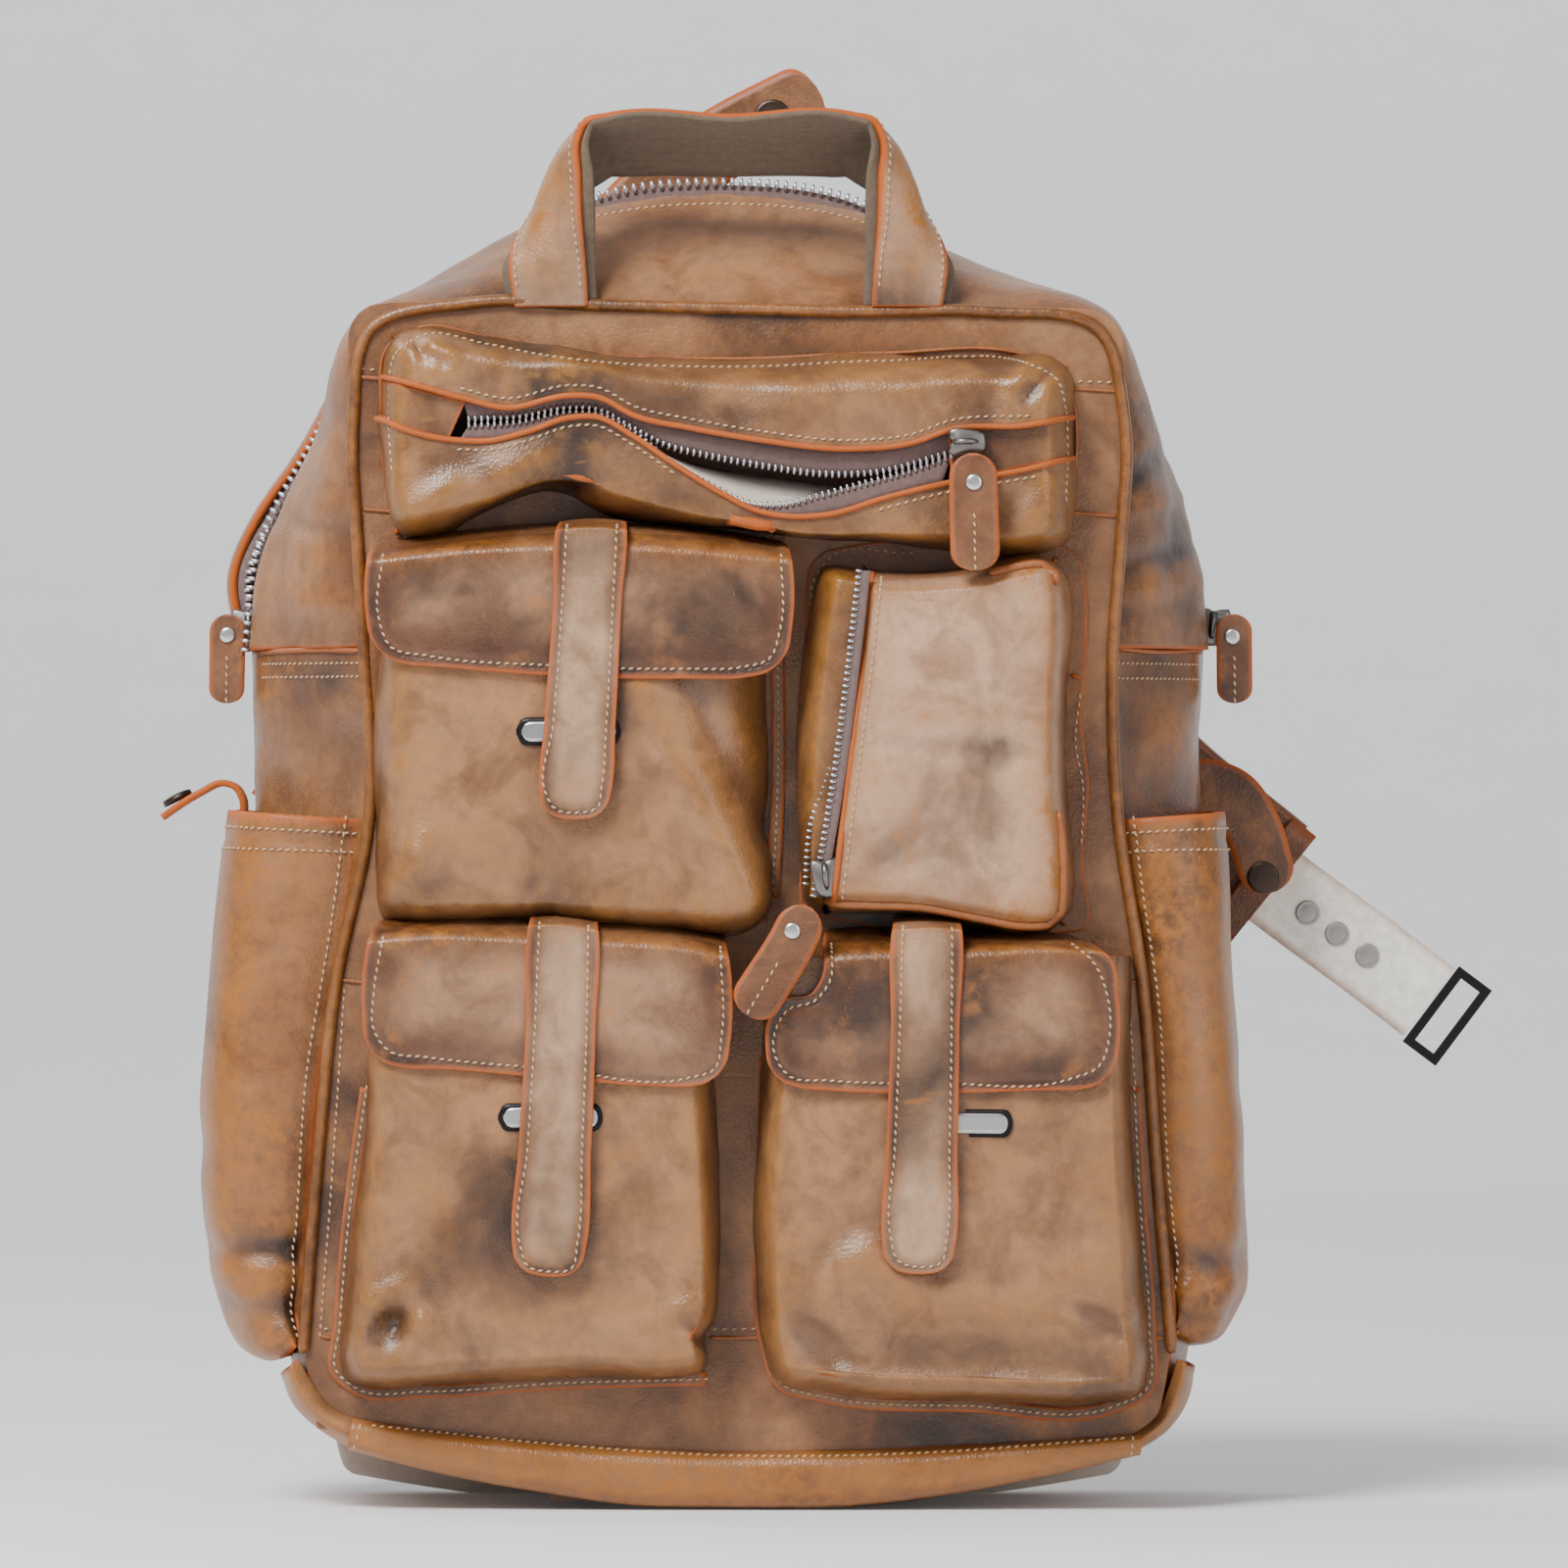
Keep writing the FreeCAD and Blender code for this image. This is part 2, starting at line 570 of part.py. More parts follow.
# ---------------------------------------------------------------- ribbons: curved straps cut from flat stock

def ribbon(centres, width, y, thick):
    """A strap that follows centre points (x, z), with square ends, from the plane y to y + thick."""
    points = [Vector(x, y, z) for x, z in centres]
    sides = ([], [])
    for n, point in enumerate(points):
        ahead = points[min(n + 1, len(points) - 1)] - points[max(n - 1, 0)]
        half = Vector(-ahead.z, 0, ahead.x).normalize() * (width / 2)
        sides[0].append(point + half)
        sides[1].append(point - half)
    curves = []
    for side in sides:
        curve = Part.BSplineCurve()
        curve.interpolate(side)
        curves.append(curve.toShape())
    ends = [Part.LineSegment(sides[0][n], sides[1][n]).toShape() for n in (0, -1)]
    flat = Part.Face(Part.Wire(Part.__sortEdges__([curves[0], ends[1], curves[1], ends[0]])))
    return flat.extrude(Vector(0, thick, 0))


# The left side strap leaves its pocket and curls out over the rim: it is seen on edge.
rim = number("side_pocket_top")
strap_width = number("side_strap_width")
strap_back = number("lip_front_y + side_strap_root")
root = -(side_at(strap_back, rim) + wall / 2 + number("side_strap_root"))
CURL = ((0, 1), (-2.5, 8), (-8.5, 10), (-16.5, 6.5), (-22.5, 2.5), (-29.5, -2))
curl = [(root + x, rim + z) for x, z in CURL]
left_strap = keep("left_side_strap", feature(
    "left_side_strap_band", ribbon(curl, wall, strap_back - strap_width, strap_width)))
tip = Vector(curl[-1][0] - curl[-2][0], 0, curl[-1][1] - curl[-2][1]).normalize()
outward = Vector(tip.z, 0, -tip.x)
cap_centre = Vector(curl[-2][0], strap_back - strap_width / 2, curl[-2][1])
keep("left_side_snap", less(
    "left_side_snap_cut",
    disc("left_snap_disc", "side_snap_radius", "snap_thick + wall / 2", cap_centre, outward), left_strap))

# The right side strap lies flat behind its pocket, with its snap at the free end.
strap_y = number("side_pocket_back + 2 * clearance")
root = side_at(strap_y + wall, rim) + number("side_strap_root")
DRAPE = ((0, 6), (10, 6), (22, -6), (29, -29))
drape = [(root + x, rim + z) for x, z in DRAPE]
keep("right_side_strap", feature("right_side_strap_band", ribbon(drape, strap_width, strap_y, wall)))
cap_centre = Vector(drape[-1][0] - 2, strap_y, drape[-1][1] + 6)
keep("right_side_snap", disc(
    "right_snap_disc", "side_snap_radius", "snap_thick", cap_centre, Vector(0, -1, 0)))


# ---------------------------------------------------------------- top handle

web_leg_y = ("handle_leg_y", "handle_leg_y + skin")
hide_leg_y = ("handle_leg_y - wall", "handle_leg_y")
grip_y = ("handle_leg_y - grip_front", "handle_leg_y + grip_back")
grip_z = ("handle_top_z - wall", "handle_top_z")
leg_z = ("handle_foot_z", "handle_top_z - wall")
web_pieces, hide_pieces = [], []
for x in ("handle_left", "handle_right"):
    web_x = (f"{x} - webbing_width / 2", f"{x} + webbing_width / 2")
    hide_x = (f"{x} - handle_leather_width / 2", f"{x} + handle_leather_width / 2")
    web_pieces.append(block(f"web_{x}", web_x, web_leg_y, leg_z))
    hide_pieces.append(block(f"hide_{x}", hide_x, hide_leg_y, leg_z))
grip_x = ("handle_left", "handle_right")
web_pieces.append(block(
    "web_grip", grip_x, ("handle_leg_y", grip_y[1]), (f"{grip_z[0]} - skin", grip_z[0])))
hide_pieces.append(block("hide_grip", grip_x, grip_y, grip_z))
hide_pieces.append(block(
    "hide_lip", grip_x, (grip_y[0], hide_leg_y[0]), (f"{grip_z[0]} - wall", grip_z[0])))
keep("handle_webbing", joined("handle_webbing_join", *web_pieces))
keep("handle_leather", joined("handle_leather_join", *hide_pieces))


# ---------------------------------------------------------------- zip sliders and their leather pulls

def pull(label, head, back, lean, length, top_width, foot_width, riveted=True):
    """A leather tongue facing -Y that hangs from its head, (x, z), with its back in the plane, turned about Y."""
    corners = [(f"-{foot_width} / 2", f"-{length}"), (f"{foot_width} / 2", f"-{length}"),
               (f"{top_width} / 2", "0"), (f"-{top_width} / 2", "0")]
    rounds = [(0, f"{foot_width} * 0.4"), (1, f"{foot_width} * 0.4"), (2, "skin"), (3, "skin")]
    tongue = keep(label, panel(label, corners, "0", "pull_thick", rounds))
    tongue.Placement = FreeCAD.Placement(
        Vector(head[0], number(back), head[1]), FreeCAD.Rotation(Vector(0, 1, 0), lean))
    if riveted:
        centre = tongue.Placement.multVec(Vector(0, -number("pull_thick"), -number(length) / 4))
        keep(label + "_rivet", disc(
            label + "_rivet_disc", "rivet_radius", "rivet_stand", centre, Vector(0, -1, 0)))


half_width, half_length, half_neck = "slider_width / 2", "slider_length / 2", "slider_neck / 2"


def flat_slider(label, x, z, face, lean, bail_end):
    """A slider on a pocket zip: an outer and an inner plate, a neck between them, a bail on the outer one."""
    origin = Vector(x, 0, z)
    outside = f"{face} - clearance - slider_thick"
    inside = f"{face} + skin + clearance"
    width, length = (f"-{half_width}", half_width), (f"-{half_length}", half_length)
    neck, middle = (f"-{half_neck}", half_neck), ("-slider_length / 4", "slider_length / 4")
    keep(label, joined(
        label + "_join",
        turned(label + "_outer", width, (outside, f"{face} - clearance"), length, origin, lean),
        turned(label + "_inner", width, (inside, f"{inside} + slider_thick"), length, origin, lean),
        turned(label + "_neck", neck, (f"{face} - clearance", inside), middle, origin, lean),
        turned(label + "_bail", neck, (bail_end, outside), middle, origin, lean),
    ))


from_end = number("slider_length / 2") + 1
slider_x = number("top_zip_right") - from_end
flat_slider("top_pocket_slider", slider_x, number("top_zip_z"), "top_face", 90, "top_pull_back + clearance")
pull("top_pocket_pull", (slider_x + 2, number("top_zip_z - bail - 1")), "top_pull_back", -3,
     "pull_length", "pull_head", "pull_foot")
slider_at = zip_foot + zip_way.normalize() * from_end
flat_slider(
    "zip_pocket_slider", slider_at.x, slider_at.z, "zip_face", zip_lean, "zip_face - slider_thick - bail")
pull("zip_pocket_pull", (number("zip_foot_x") - 5, number("zip_foot_z") - 2), "zip_pull_back",
     number("zip_pull_lean"), "pull_length", "pull_head", "pull_foot")

# The main zip's two sliders ride the arch, one plate outside it and one inside.
for name, side in (("right", 1), ("left", -1)):
    def radial(low, high):
        return (low, high) if side > 0 else (f"-({high})", f"-({low})")

    plate_out = "slider_outside + slider_thick"
    width = (f"zip_y - {half_width}", f"zip_y + {half_width}")
    neck_y = (f"zip_y - {half_neck}", f"zip_y + {half_neck}")
    length, middle = (f"-{half_length}", half_length), ("-slider_length / 4", "slider_length / 4")
    frame = (Vector(0, 0, number("arch_z")), -side * number("main_slider_angle"))
    label = f"main_slider_{name}"
    keep(label, joined(
        label + "_join",
        turned(label + "_outer", radial("slider_outside", plate_out), width, length, *frame),
        turned(label + "_inner", radial("slider_inside - slider_thick", "slider_inside"), width, length, *frame),
        turned(label + "_neck", radial("slider_inside", "slider_outside"), neck_y, middle, *frame),
        turned(label + "_bail", radial(plate_out, f"{plate_out} + bail"),
               ("main_pull_back + clearance", neck_y[1]), ("0", "slider_length / 3"), *frame),
    ))
    head = (side * number(f"{plate_out} + bail / 2"), number("arch_z + main_pull_rise"))
    pull(f"main_pull_{name}", head, "main_pull_back", -3 * side,
         "main_pull_length", "main_pull_head", "main_pull_foot", side > 0)


# ---------------------------------------------------------------- yoke, closing tab and shoulder straps on the back

tab_path = [(-62, 392), (-40, 428), (-8, 455), (25, 471)]   # curling up to the right, (x, z)
tab_band = ribbon(tab_path, number("tab_width"), number("tab_back"), wall)
tip_edges = [edge for edge in tab_band.Edges if along(edge, Vector(0, 1, 0)) and edge.CenterOfMass.x > 0]
tab_band = feature("tab_band", tab_band.makeFillet(2 * wall, tip_edges))
fold_y = ("tab_back - wall", "tab_back + 2 * wall")
keep("top_tab", common("top_tab_cut", tab_band, block(
    "tab_free_zone", across, fold_y, ("tab_fold_z + clearance", "3 * arch_radius"))))
snap_centre = Vector(tab_path[-1][0] - 13, number("tab_back"), tab_path[-1][1] - 6)
keep("top_tab_snap", disc("tab_snap_disc", "snap_radius", "snap_thick", snap_centre, Vector(0, -1, 0)))

yoke = panel(
    "yoke",
    [("-yoke_half", "yoke_bottom"), ("yoke_half", "yoke_bottom"), ("yoke_half", "yoke_top"),
     ("-yoke_half", "yoke_top")],
    "back_face + wall", "wall", [(0, "front_corner / 2"), (1, "front_corner / 2")])
seat_y = ("back_face + wall", "shoulder_y - clearance")
seat_z = ("yoke_bottom + wall", "yoke_bottom + wall + seat_height")
keep("strap_yoke", joined(
    "strap_yoke_join",
    yoke,
    common("tab_root", tab_band, block("tab_sewn_zone", across, fold_y, ("yoke_bottom", "tab_fold_z"))),
    block("left_seat", ("-yoke_half + wall", "-yoke_half / 2"), seat_y, seat_z),
    block("right_seat", ("yoke_half / 2", "yoke_half - wall"), seat_y, seat_z),
))

shoulder = [(42, 396), (66, 350), (99, 292), (140, 240), (184, 207)]   # (x, z), out past the right side
near_side = [(-x, z) for x, z in shoulder[:3]] + [(-126, 252), (-143, 226)]
for side, path in (("right", shoulder), ("left", near_side)):
    keep(f"{side}_shoulder_strap", feature(f"{side}_shoulder_band", ribbon(
        path, number("shoulder_width"), number("shoulder_y"), number("shoulder_thick"))))


def onward(path, *steps):
    """Points that carry straight on from the end of a path."""
    (x0, z0), (x1, z1) = path[-2:]
    length = math.hypot(x1 - x0, z1 - z0)
    return [(x1 + (x1 - x0) * step / length, z1 + (z1 - z0) * step / length) for step in steps]


def loop(label, path):
    """A flat black loop at the end of an adjuster, in the plane of the strap."""
    (x0, z0), (x1, z1) = path[-2:]
    origin = Vector(x1, number("adjuster_y + wall / 2"), z1)
    angle = math.degrees(math.atan2(z0 - z1, x1 - x0))
    half = "adjuster_width / 2 + skin"
    flat, through = ("-loop_wire / 2", "loop_wire / 2"), ("-loop_wire", "loop_wire")
    start = "3 * clearance"
    keep(label, less(
        label + "_cut",
        turned(label + "_outer", (start, f"{start} + loop_depth"), flat, (f"-({half})", half),
               origin, angle),
        turned(label + "_inner", (f"{start} + loop_wire", f"{start} + loop_depth - loop_wire"), through,
               (f"loop_wire - ({half})", f"{half} - loop_wire"), origin, angle),
    ))


adjusters = {
    "right": onward(shoulder, 0.0, 34, 68),
    "left": onward(near_side, 0.0, 10) + [(-156, 190), (-156, 150), (-147, 100), (-135, 69)],
}
for side, path in adjusters.items():
    keep(f"{side}_adjuster", feature(f"{side}_adjuster_band", ribbon(
        path, number("adjuster_width"), number("adjuster_y"), wall)))
    loop(f"{side}_strap_loop", path)

tabs, rings = [], []
for side in (-1, 1):
    x = side * number("ring_x")
    tab_x = (f"{x} - ring_tab_width / 2", f"{x} + ring_tab_width / 2")
    wire_y = "back_face + skin + ring_wire + clearance"
    fold_z = "ring_z + ring_radius - 3 * ring_wire"
    tabs.append(less(
        "ring_tab",
        block("ring_tab_outer", tab_x, ("back_face", f"{wire_y} + ring_wire + clearance + skin"),
              (fold_z, "ring_tab_top")),
        block("ring_tab_loop", tab_x, ("back_face + skin", f"{wire_y} + ring_wire + clearance"),
              (f"{fold_z} + skin", "ring_z + ring_radius + 2 * ring_wire")),
    ))
    torus = doc.addObject("Part::Torus", "strap_ring")
    bind(torus, "Radius1", "ring_radius")
    bind(torus, "Radius2", "ring_wire")
    torus.Placement = FreeCAD.Placement(
        Vector(x, number(wire_y), number("ring_z")), FreeCAD.Rotation(Vector(1, 0, 0), 90))
    rings.append(torus)
keep("ring_tabs", joined("ring_tabs_join", *tabs))
keep("strap_rings", joined("strap_rings_join", *rings))


# ---------------------------------------------------------------- check everything, then save each piece

doc.recompute()
faults = [thing.Name for thing in doc.Objects if "Invalid" in thing.State or "Error" in thing.State]
for label, thing in pieces.items():
    if thing.Shape.isNull() or not thing.Shape.isValid() or not thing.Shape.Solids:
        faults.append(label)
if faults:
    raise SystemExit(f"these did not build: {faults}")
os.makedirs("parts", exist_ok=True)
for label, thing in pieces.items():
    thing.Shape.exportStep(f"parts/{label}.step")
print(f"{len(pieces)} pieces, {sum(len(thing.Shape.Solids) for thing in pieces.values())} solids")
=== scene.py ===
import json
import math

import bpy
import numpy as np
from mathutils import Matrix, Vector, noise
from mathutils.bvhtree import BVHTree

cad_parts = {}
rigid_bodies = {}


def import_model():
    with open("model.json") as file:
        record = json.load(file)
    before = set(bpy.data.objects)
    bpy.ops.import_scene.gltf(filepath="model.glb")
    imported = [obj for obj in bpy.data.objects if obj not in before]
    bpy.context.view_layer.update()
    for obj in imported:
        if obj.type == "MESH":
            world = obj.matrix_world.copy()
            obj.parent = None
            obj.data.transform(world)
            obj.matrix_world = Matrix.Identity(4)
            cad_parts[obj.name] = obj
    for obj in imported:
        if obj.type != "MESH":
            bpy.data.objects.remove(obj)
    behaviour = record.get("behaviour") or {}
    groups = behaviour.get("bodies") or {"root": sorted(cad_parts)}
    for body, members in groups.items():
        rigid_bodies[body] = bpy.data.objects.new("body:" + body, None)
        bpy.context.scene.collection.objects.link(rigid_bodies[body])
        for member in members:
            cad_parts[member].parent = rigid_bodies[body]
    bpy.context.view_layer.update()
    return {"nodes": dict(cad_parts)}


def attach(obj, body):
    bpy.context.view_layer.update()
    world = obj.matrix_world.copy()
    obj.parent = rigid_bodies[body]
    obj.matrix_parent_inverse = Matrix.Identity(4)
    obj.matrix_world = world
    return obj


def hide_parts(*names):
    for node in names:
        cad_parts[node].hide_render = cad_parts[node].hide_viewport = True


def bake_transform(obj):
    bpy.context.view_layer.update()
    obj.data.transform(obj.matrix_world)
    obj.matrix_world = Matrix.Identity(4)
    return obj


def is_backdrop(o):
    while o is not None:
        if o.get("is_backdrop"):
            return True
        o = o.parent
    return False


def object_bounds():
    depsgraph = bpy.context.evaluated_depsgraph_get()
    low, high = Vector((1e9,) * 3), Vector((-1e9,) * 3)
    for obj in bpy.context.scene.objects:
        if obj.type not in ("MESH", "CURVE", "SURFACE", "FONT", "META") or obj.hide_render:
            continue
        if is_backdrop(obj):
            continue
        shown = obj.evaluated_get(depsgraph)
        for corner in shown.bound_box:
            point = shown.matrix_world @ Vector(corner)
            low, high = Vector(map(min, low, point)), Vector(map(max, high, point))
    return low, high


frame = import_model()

MM = 0.001
scene = bpy.context.scene
nodes = frame["nodes"]

# ---------------------------------------------------------------- stage
# A pale sweep of paper curves up behind the bag. One large soft box hangs high on the left, a weaker one
# stands on the right, and the camera looks straight at the front from far enough to keep lines parallel.
CAMERA_AWAY = 4.0
VIEW_WIDTH = 0.520
camera_data = bpy.data.cameras.new("camera")
camera_data.lens = camera_data.sensor_width * (CAMERA_AWAY - 0.06) / VIEW_WIDTH
camera_data.clip_end = 50
camera = bpy.data.objects.new("camera", camera_data)
camera.location = (0.0179, -CAMERA_AWAY, 0.2408)
camera.rotation_euler = (math.radians(90), 0, 0)
scene.collection.objects.link(camera)
scene.camera = camera


def soft_box(name, place, size, power):
    """A square soft light that points at the middle of the bag."""
    data = bpy.data.lights.new(name, "AREA")
    data.size = size
    data.energy = power
    lamp = bpy.data.objects.new(name, data)
    lamp.location = place
    lamp.rotation_euler = (Vector((0, 0, 0.22)) - Vector(place)).to_track_quat("-Z", "Y").to_euler()
    scene.collection.objects.link(lamp)


soft_box("key_light", (-0.9, -1.6, 2.0), 0.9, 98)
soft_box("fill_light", (1.9, -2.2, 0.9), 1.6, 20)
soft_box("back_light", (-1.6, 1.1, 1.9), 1.4, 22)
world = bpy.data.worlds.new("room")
world.use_nodes = True
world.node_tree.nodes["Background"].inputs["Color"].default_value = (0.92, 0.94, 1.0, 1)
world.node_tree.nodes["Background"].inputs["Strength"].default_value = 0.46
scene.world = world


def add(tree, kind, inputs=None, **settings):
    """A node with its settings made and its sockets filled, from values or from other nodes' outputs."""
    node = tree.nodes.new(kind)
    for key, value in settings.items():
        setattr(node, key, value)
    for key, value in (inputs or {}).items():
        if isinstance(value, bpy.types.NodeSocket):
            tree.links.new(value, node.inputs[key])
        else:
            node.inputs[key].default_value = value
    return node


def material(name, **constants):
    """A material, its shader and its node tree, with plain values set on the shader's own sockets."""
    made = bpy.data.materials.new(name)
    made.use_nodes = True
    shader = made.node_tree.nodes["Principled BSDF"]
    for key, value in constants.items():
        shader.inputs[key.replace("_", " ")].default_value = value
    return made, shader, made.node_tree


paper, paper_shader, paper_tree = material("paper", Roughness=0.9)
paper_speck = add(paper_tree, "ShaderNodeTexNoise", {"Scale": 260.0, "Detail": 3.0})
paper_tone = add(paper_tree, "ShaderNodeMapRange", {0: paper_speck.outputs["Fac"], 3: 0.80, 4: 0.86})
paper_tree.links.new(paper_tone.outputs[0], paper_shader.inputs["Base Color"])
paper_place = add(paper_tree, "ShaderNodeTexCoord").outputs["Object"]
paper_depth = add(paper_tree, "ShaderNodeSeparateXYZ", {0: paper_place}).outputs["Y"]
paper_glow = add(paper_tree, "ShaderNodeMapRange", {0: paper_depth, 1: 0.3, 2: 3.5, 3: 0.03, 4: 0.40})
paper_tree.links.new(paper_glow.outputs[0], paper_shader.inputs["Emission Color"])
paper_shader.inputs["Emission Strength"].default_value = 1.0

SWEEP_RISE = 0.9
SWEEP_START = 5.0       # the curve begins far behind the bag, so the back can be seen too
sweep_lines = [(-8.0, 0.0), (SWEEP_START, 0.0)]
sweep_lines += [(SWEEP_START + SWEEP_RISE * math.sin(a), SWEEP_RISE * (1 - math.cos(a)))
                for a in (math.radians(d) for d in range(6, 91, 6))]
sweep_lines += [(SWEEP_START + SWEEP_RISE, 6.0)]
sweep_mesh = bpy.data.meshes.new("sweep")
sweep_mesh.from_pydata([(x, y, z) for y, z in sweep_lines for x in (-9, 9)], [],
                       [(2 * i, 2 * i + 1, 2 * i + 3, 2 * i + 2) for i in range(len(sweep_lines) - 1)])
sweep_mesh.materials.append(paper)
sweep_mesh.shade_smooth()
sweep = bpy.data.objects.new("sweep", sweep_mesh)
scene.collection.objects.link(sweep)
sweep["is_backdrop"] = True

# ---------------------------------------------------------------- leather
# Every panel is cut from oiled pull-up leather: waxed brown that goes ochre where it is bent. It is paler on
# the crown of each sheet, partly as rub wear and partly as a painted highlight, and painted shade darkens the
# hollows of its folds. Cut edges are bright tan, and the flesh side is rust suede.
def tint(red, green, blue):
    """A colour from its red, green and blue out of 255, as the shader wants it."""
    def linear(c):
        c /= 255
        return c / 12.92 if c <= 0.04045 else ((c + 0.055) / 1.055) ** 2.4
    return (linear(red), linear(green), linear(blue), 1.0)


def spread(tree, value, low, high, to_low=0.0, to_high=1.0):
    """A value stretched from one range to another, and kept inside it."""
    return add(tree, "ShaderNodeMapRange", {0: value, 1: low, 2: high, 3: to_low, 4: to_high},
               interpolation_type="SMOOTHSTEP").outputs[0]


def mixed(tree, share, first, second):
    return add(tree, "ShaderNodeMix", {0: share, 6: first, 7: second}, data_type="RGBA").outputs[2]


def maths(tree, operation, first, second):
    return add(tree, "ShaderNodeMath", {0: first, 1: second}, operation=operation,
               use_clamp=True).outputs[0]


def mark(tree, name):
    """How much a point of the mesh carries of a mark such as crown, cut or flesh."""
    return add(tree, "ShaderNodeAttribute", attribute_name=name).outputs["Fac"]


def leather_group():
    """Colour, roughness and relief of pull-up leather, shared by every leather finish."""
    group = bpy.data.node_groups.new("pull_up_leather", "ShaderNodeTree")
    for name, kind in (("Ground", "NodeSocketColor"), ("Dark", "NodeSocketColor"),
                       ("Pale", "NodeSocketColor"),
                       ("Ochre", "NodeSocketColor"), ("Cut", "NodeSocketColor"),
                       ("Flesh", "NodeSocketColor"),
                       ("Rub and highlight", "NodeSocketFloat"), ("Shift", "NodeSocketVector")):
        group.interface.new_socket(name, in_out="INPUT", socket_type=kind)
    group.interface.new_socket("Color", in_out="OUTPUT", socket_type="NodeSocketColor")
    group.interface.new_socket("Roughness", in_out="OUTPUT", socket_type="NodeSocketFloat")
    group.interface.new_socket("Height", in_out="OUTPUT", socket_type="NodeSocketFloat")
    given = group.nodes.new("NodeGroupInput").outputs
    place = add(group, "ShaderNodeTexCoord").outputs["Object"]
    place = add(group, "ShaderNodeVectorMath", {0: place, 1: given["Shift"]}, operation="ADD").outputs[0]

    def cloud(scale, detail, rough=0.55, twist=0.0):
        return add(group, "ShaderNodeTexNoise", {"Vector": place, "Scale": scale, "Detail": detail,
                                                 "Roughness": rough, "Distortion": twist}).outputs["Fac"]

    def scratches(turn, scale, low, high):
        """Thin slanting marks: fine noise drawn out along one direction."""
        slanted = add(group, "ShaderNodeMapping", {"Vector": place, "Rotation": turn, "Scale": scale})
        drawn = add(group, "ShaderNodeTexNoise", {"Vector": slanted.outputs[0], "Scale": 1.0,
                                                  "Detail": 2.0,
                                                  "Roughness": 0.4}).outputs["Fac"]
        return spread(group, drawn, low, high)

    broad = cloud(15, 4, 0.5, 0.5)
    patches = cloud(46, 5, 0.6, 0.8)
    fibres = cloud(210, 6, 0.7, 0.3)
    grain = add(group, "ShaderNodeTexVoronoi", {"Vector": place, "Scale": 950.0}).outputs["Distance"]
    crown = mark(group, "crown")
    bend = mark(group, "bend")
    cut = mark(group, "cut")
    flesh = mark(group, "flesh")
    crease_shade = mark(group, "crease_shade")

    # The crown goes pale, partly as rub wear and partly as a painted highlight; broad noise adds uneven tone.
    rub_tone_and_highlight = maths(group, "ADD", maths(group, "MULTIPLY", crown, given["Rub and highlight"]),
                   spread(group, broad, 0.42, 0.70, 0.0, 0.55))
    rub_tone_and_highlight = maths(group, "MULTIPLY", rub_tone_and_highlight, spread(group, patches, 0.30, 0.62, 0.45, 1.0))
    colour = mixed(group, rub_tone_and_highlight, given["Ground"], given["Pale"])
    # Painted shade darkens the hollows of folds; broad noise adds random dark patches.
    patches_and_crease_shade = maths(group, "ADD", crease_shade, spread(group, broad, 0.50, 0.30, 0.0, 0.95))
    patches_and_crease_shade = maths(group, "MULTIPLY", patches_and_crease_shade, spread(group, patches, 0.25, 0.55, 0.5, 1.0))
    colour = mixed(group, patches_and_crease_shade, colour, given["Dark"])
    pulled = maths(group, "MULTIPLY", spread(group, patches, 0.50, 0.72),
                   spread(group, fibres, 0.35, 0.62))
    pulled = maths(group, "MULTIPLY", pulled, 0.55)
    bent = maths(group, "MULTIPLY", bend, spread(group, fibres, 0.30, 0.60, 0.45, 1.0))
    colour = mixed(group, maths(group, "ADD", pulled, bent), colour, given["Ochre"])
    fine = maths(group, "ADD", scratches((0.5, 0.3, 0.9), (40, 700, 260), 0.71, 0.80),
                 scratches((1.1, -0.7, 0.2), (640, 60, 300), 0.72, 0.80))
    colour = mixed(group, maths(group, "MULTIPLY", fine, 0.55), colour, given["Ochre"])
    specks = spread(group, cloud(900, 2, 0.6), 0.70, 0.80, 0.0, 0.5)
    colour = mixed(group, specks, colour, given["Pale"])
    mottled = add(group, "ShaderNodeMix", {0: 1.0, 6: colour, 7: mixed(group,
    spread(group, fibres, 0.35, 0.65),
                  (0.84, 0.83, 0.81, 1), (1.06, 1.05, 1.04, 1))}, data_type="RGBA", blend_type="MULTIPLY")
    colour = mottled.outputs[2]
    suede = mixed(group, spread(group, cloud(420, 5, 0.7), 0.35, 0.65), given["Flesh"], given["Cut"])
    colour = mixed(group, flesh, colour, suede)
    colour = mixed(group, maths(group, "MULTIPLY", cut, spread(group, patches, 0.28, 0.50, 0.72, 1.0)),
                   colour, given["Cut"])

    rough = spread(group, patches, 0.3, 0.7, 0.27, 0.45)
    rough = add(group, "ShaderNodeMix", {0: maths(group, "MAXIMUM", flesh, cut), 2: rough,
                                         3: 0.85}).outputs[0]
    pores = add(group, "ShaderNodeMath", {0: grain, 1: 0.5}, operation="MULTIPLY").outputs[0]
    relief = add(group, "ShaderNodeMath", {0: fibres, 1: 0.9, 2: pores},
                 operation="MULTIPLY_ADD").outputs[0]
    relief = add(group, "ShaderNodeMath", {0: fine, 1: -0.35, 2: relief},
                 operation="MULTIPLY_ADD").outputs[0]
    output = group.nodes.new("NodeGroupOutput")
    group.links.new(colour, output.inputs["Color"])
    group.links.new(rough, output.inputs["Roughness"])
    group.links.new(relief, output.inputs["Height"])
    return group


LEATHER = leather_group()
GROUND = tint(90, 50, 24)
DARK = tint(34, 18, 11)
PALE = tint(160, 114, 76)
OCHRE = tint(150, 92, 32)
CUT = tint(172, 80, 12)
FLESH = tint(158, 78, 24)


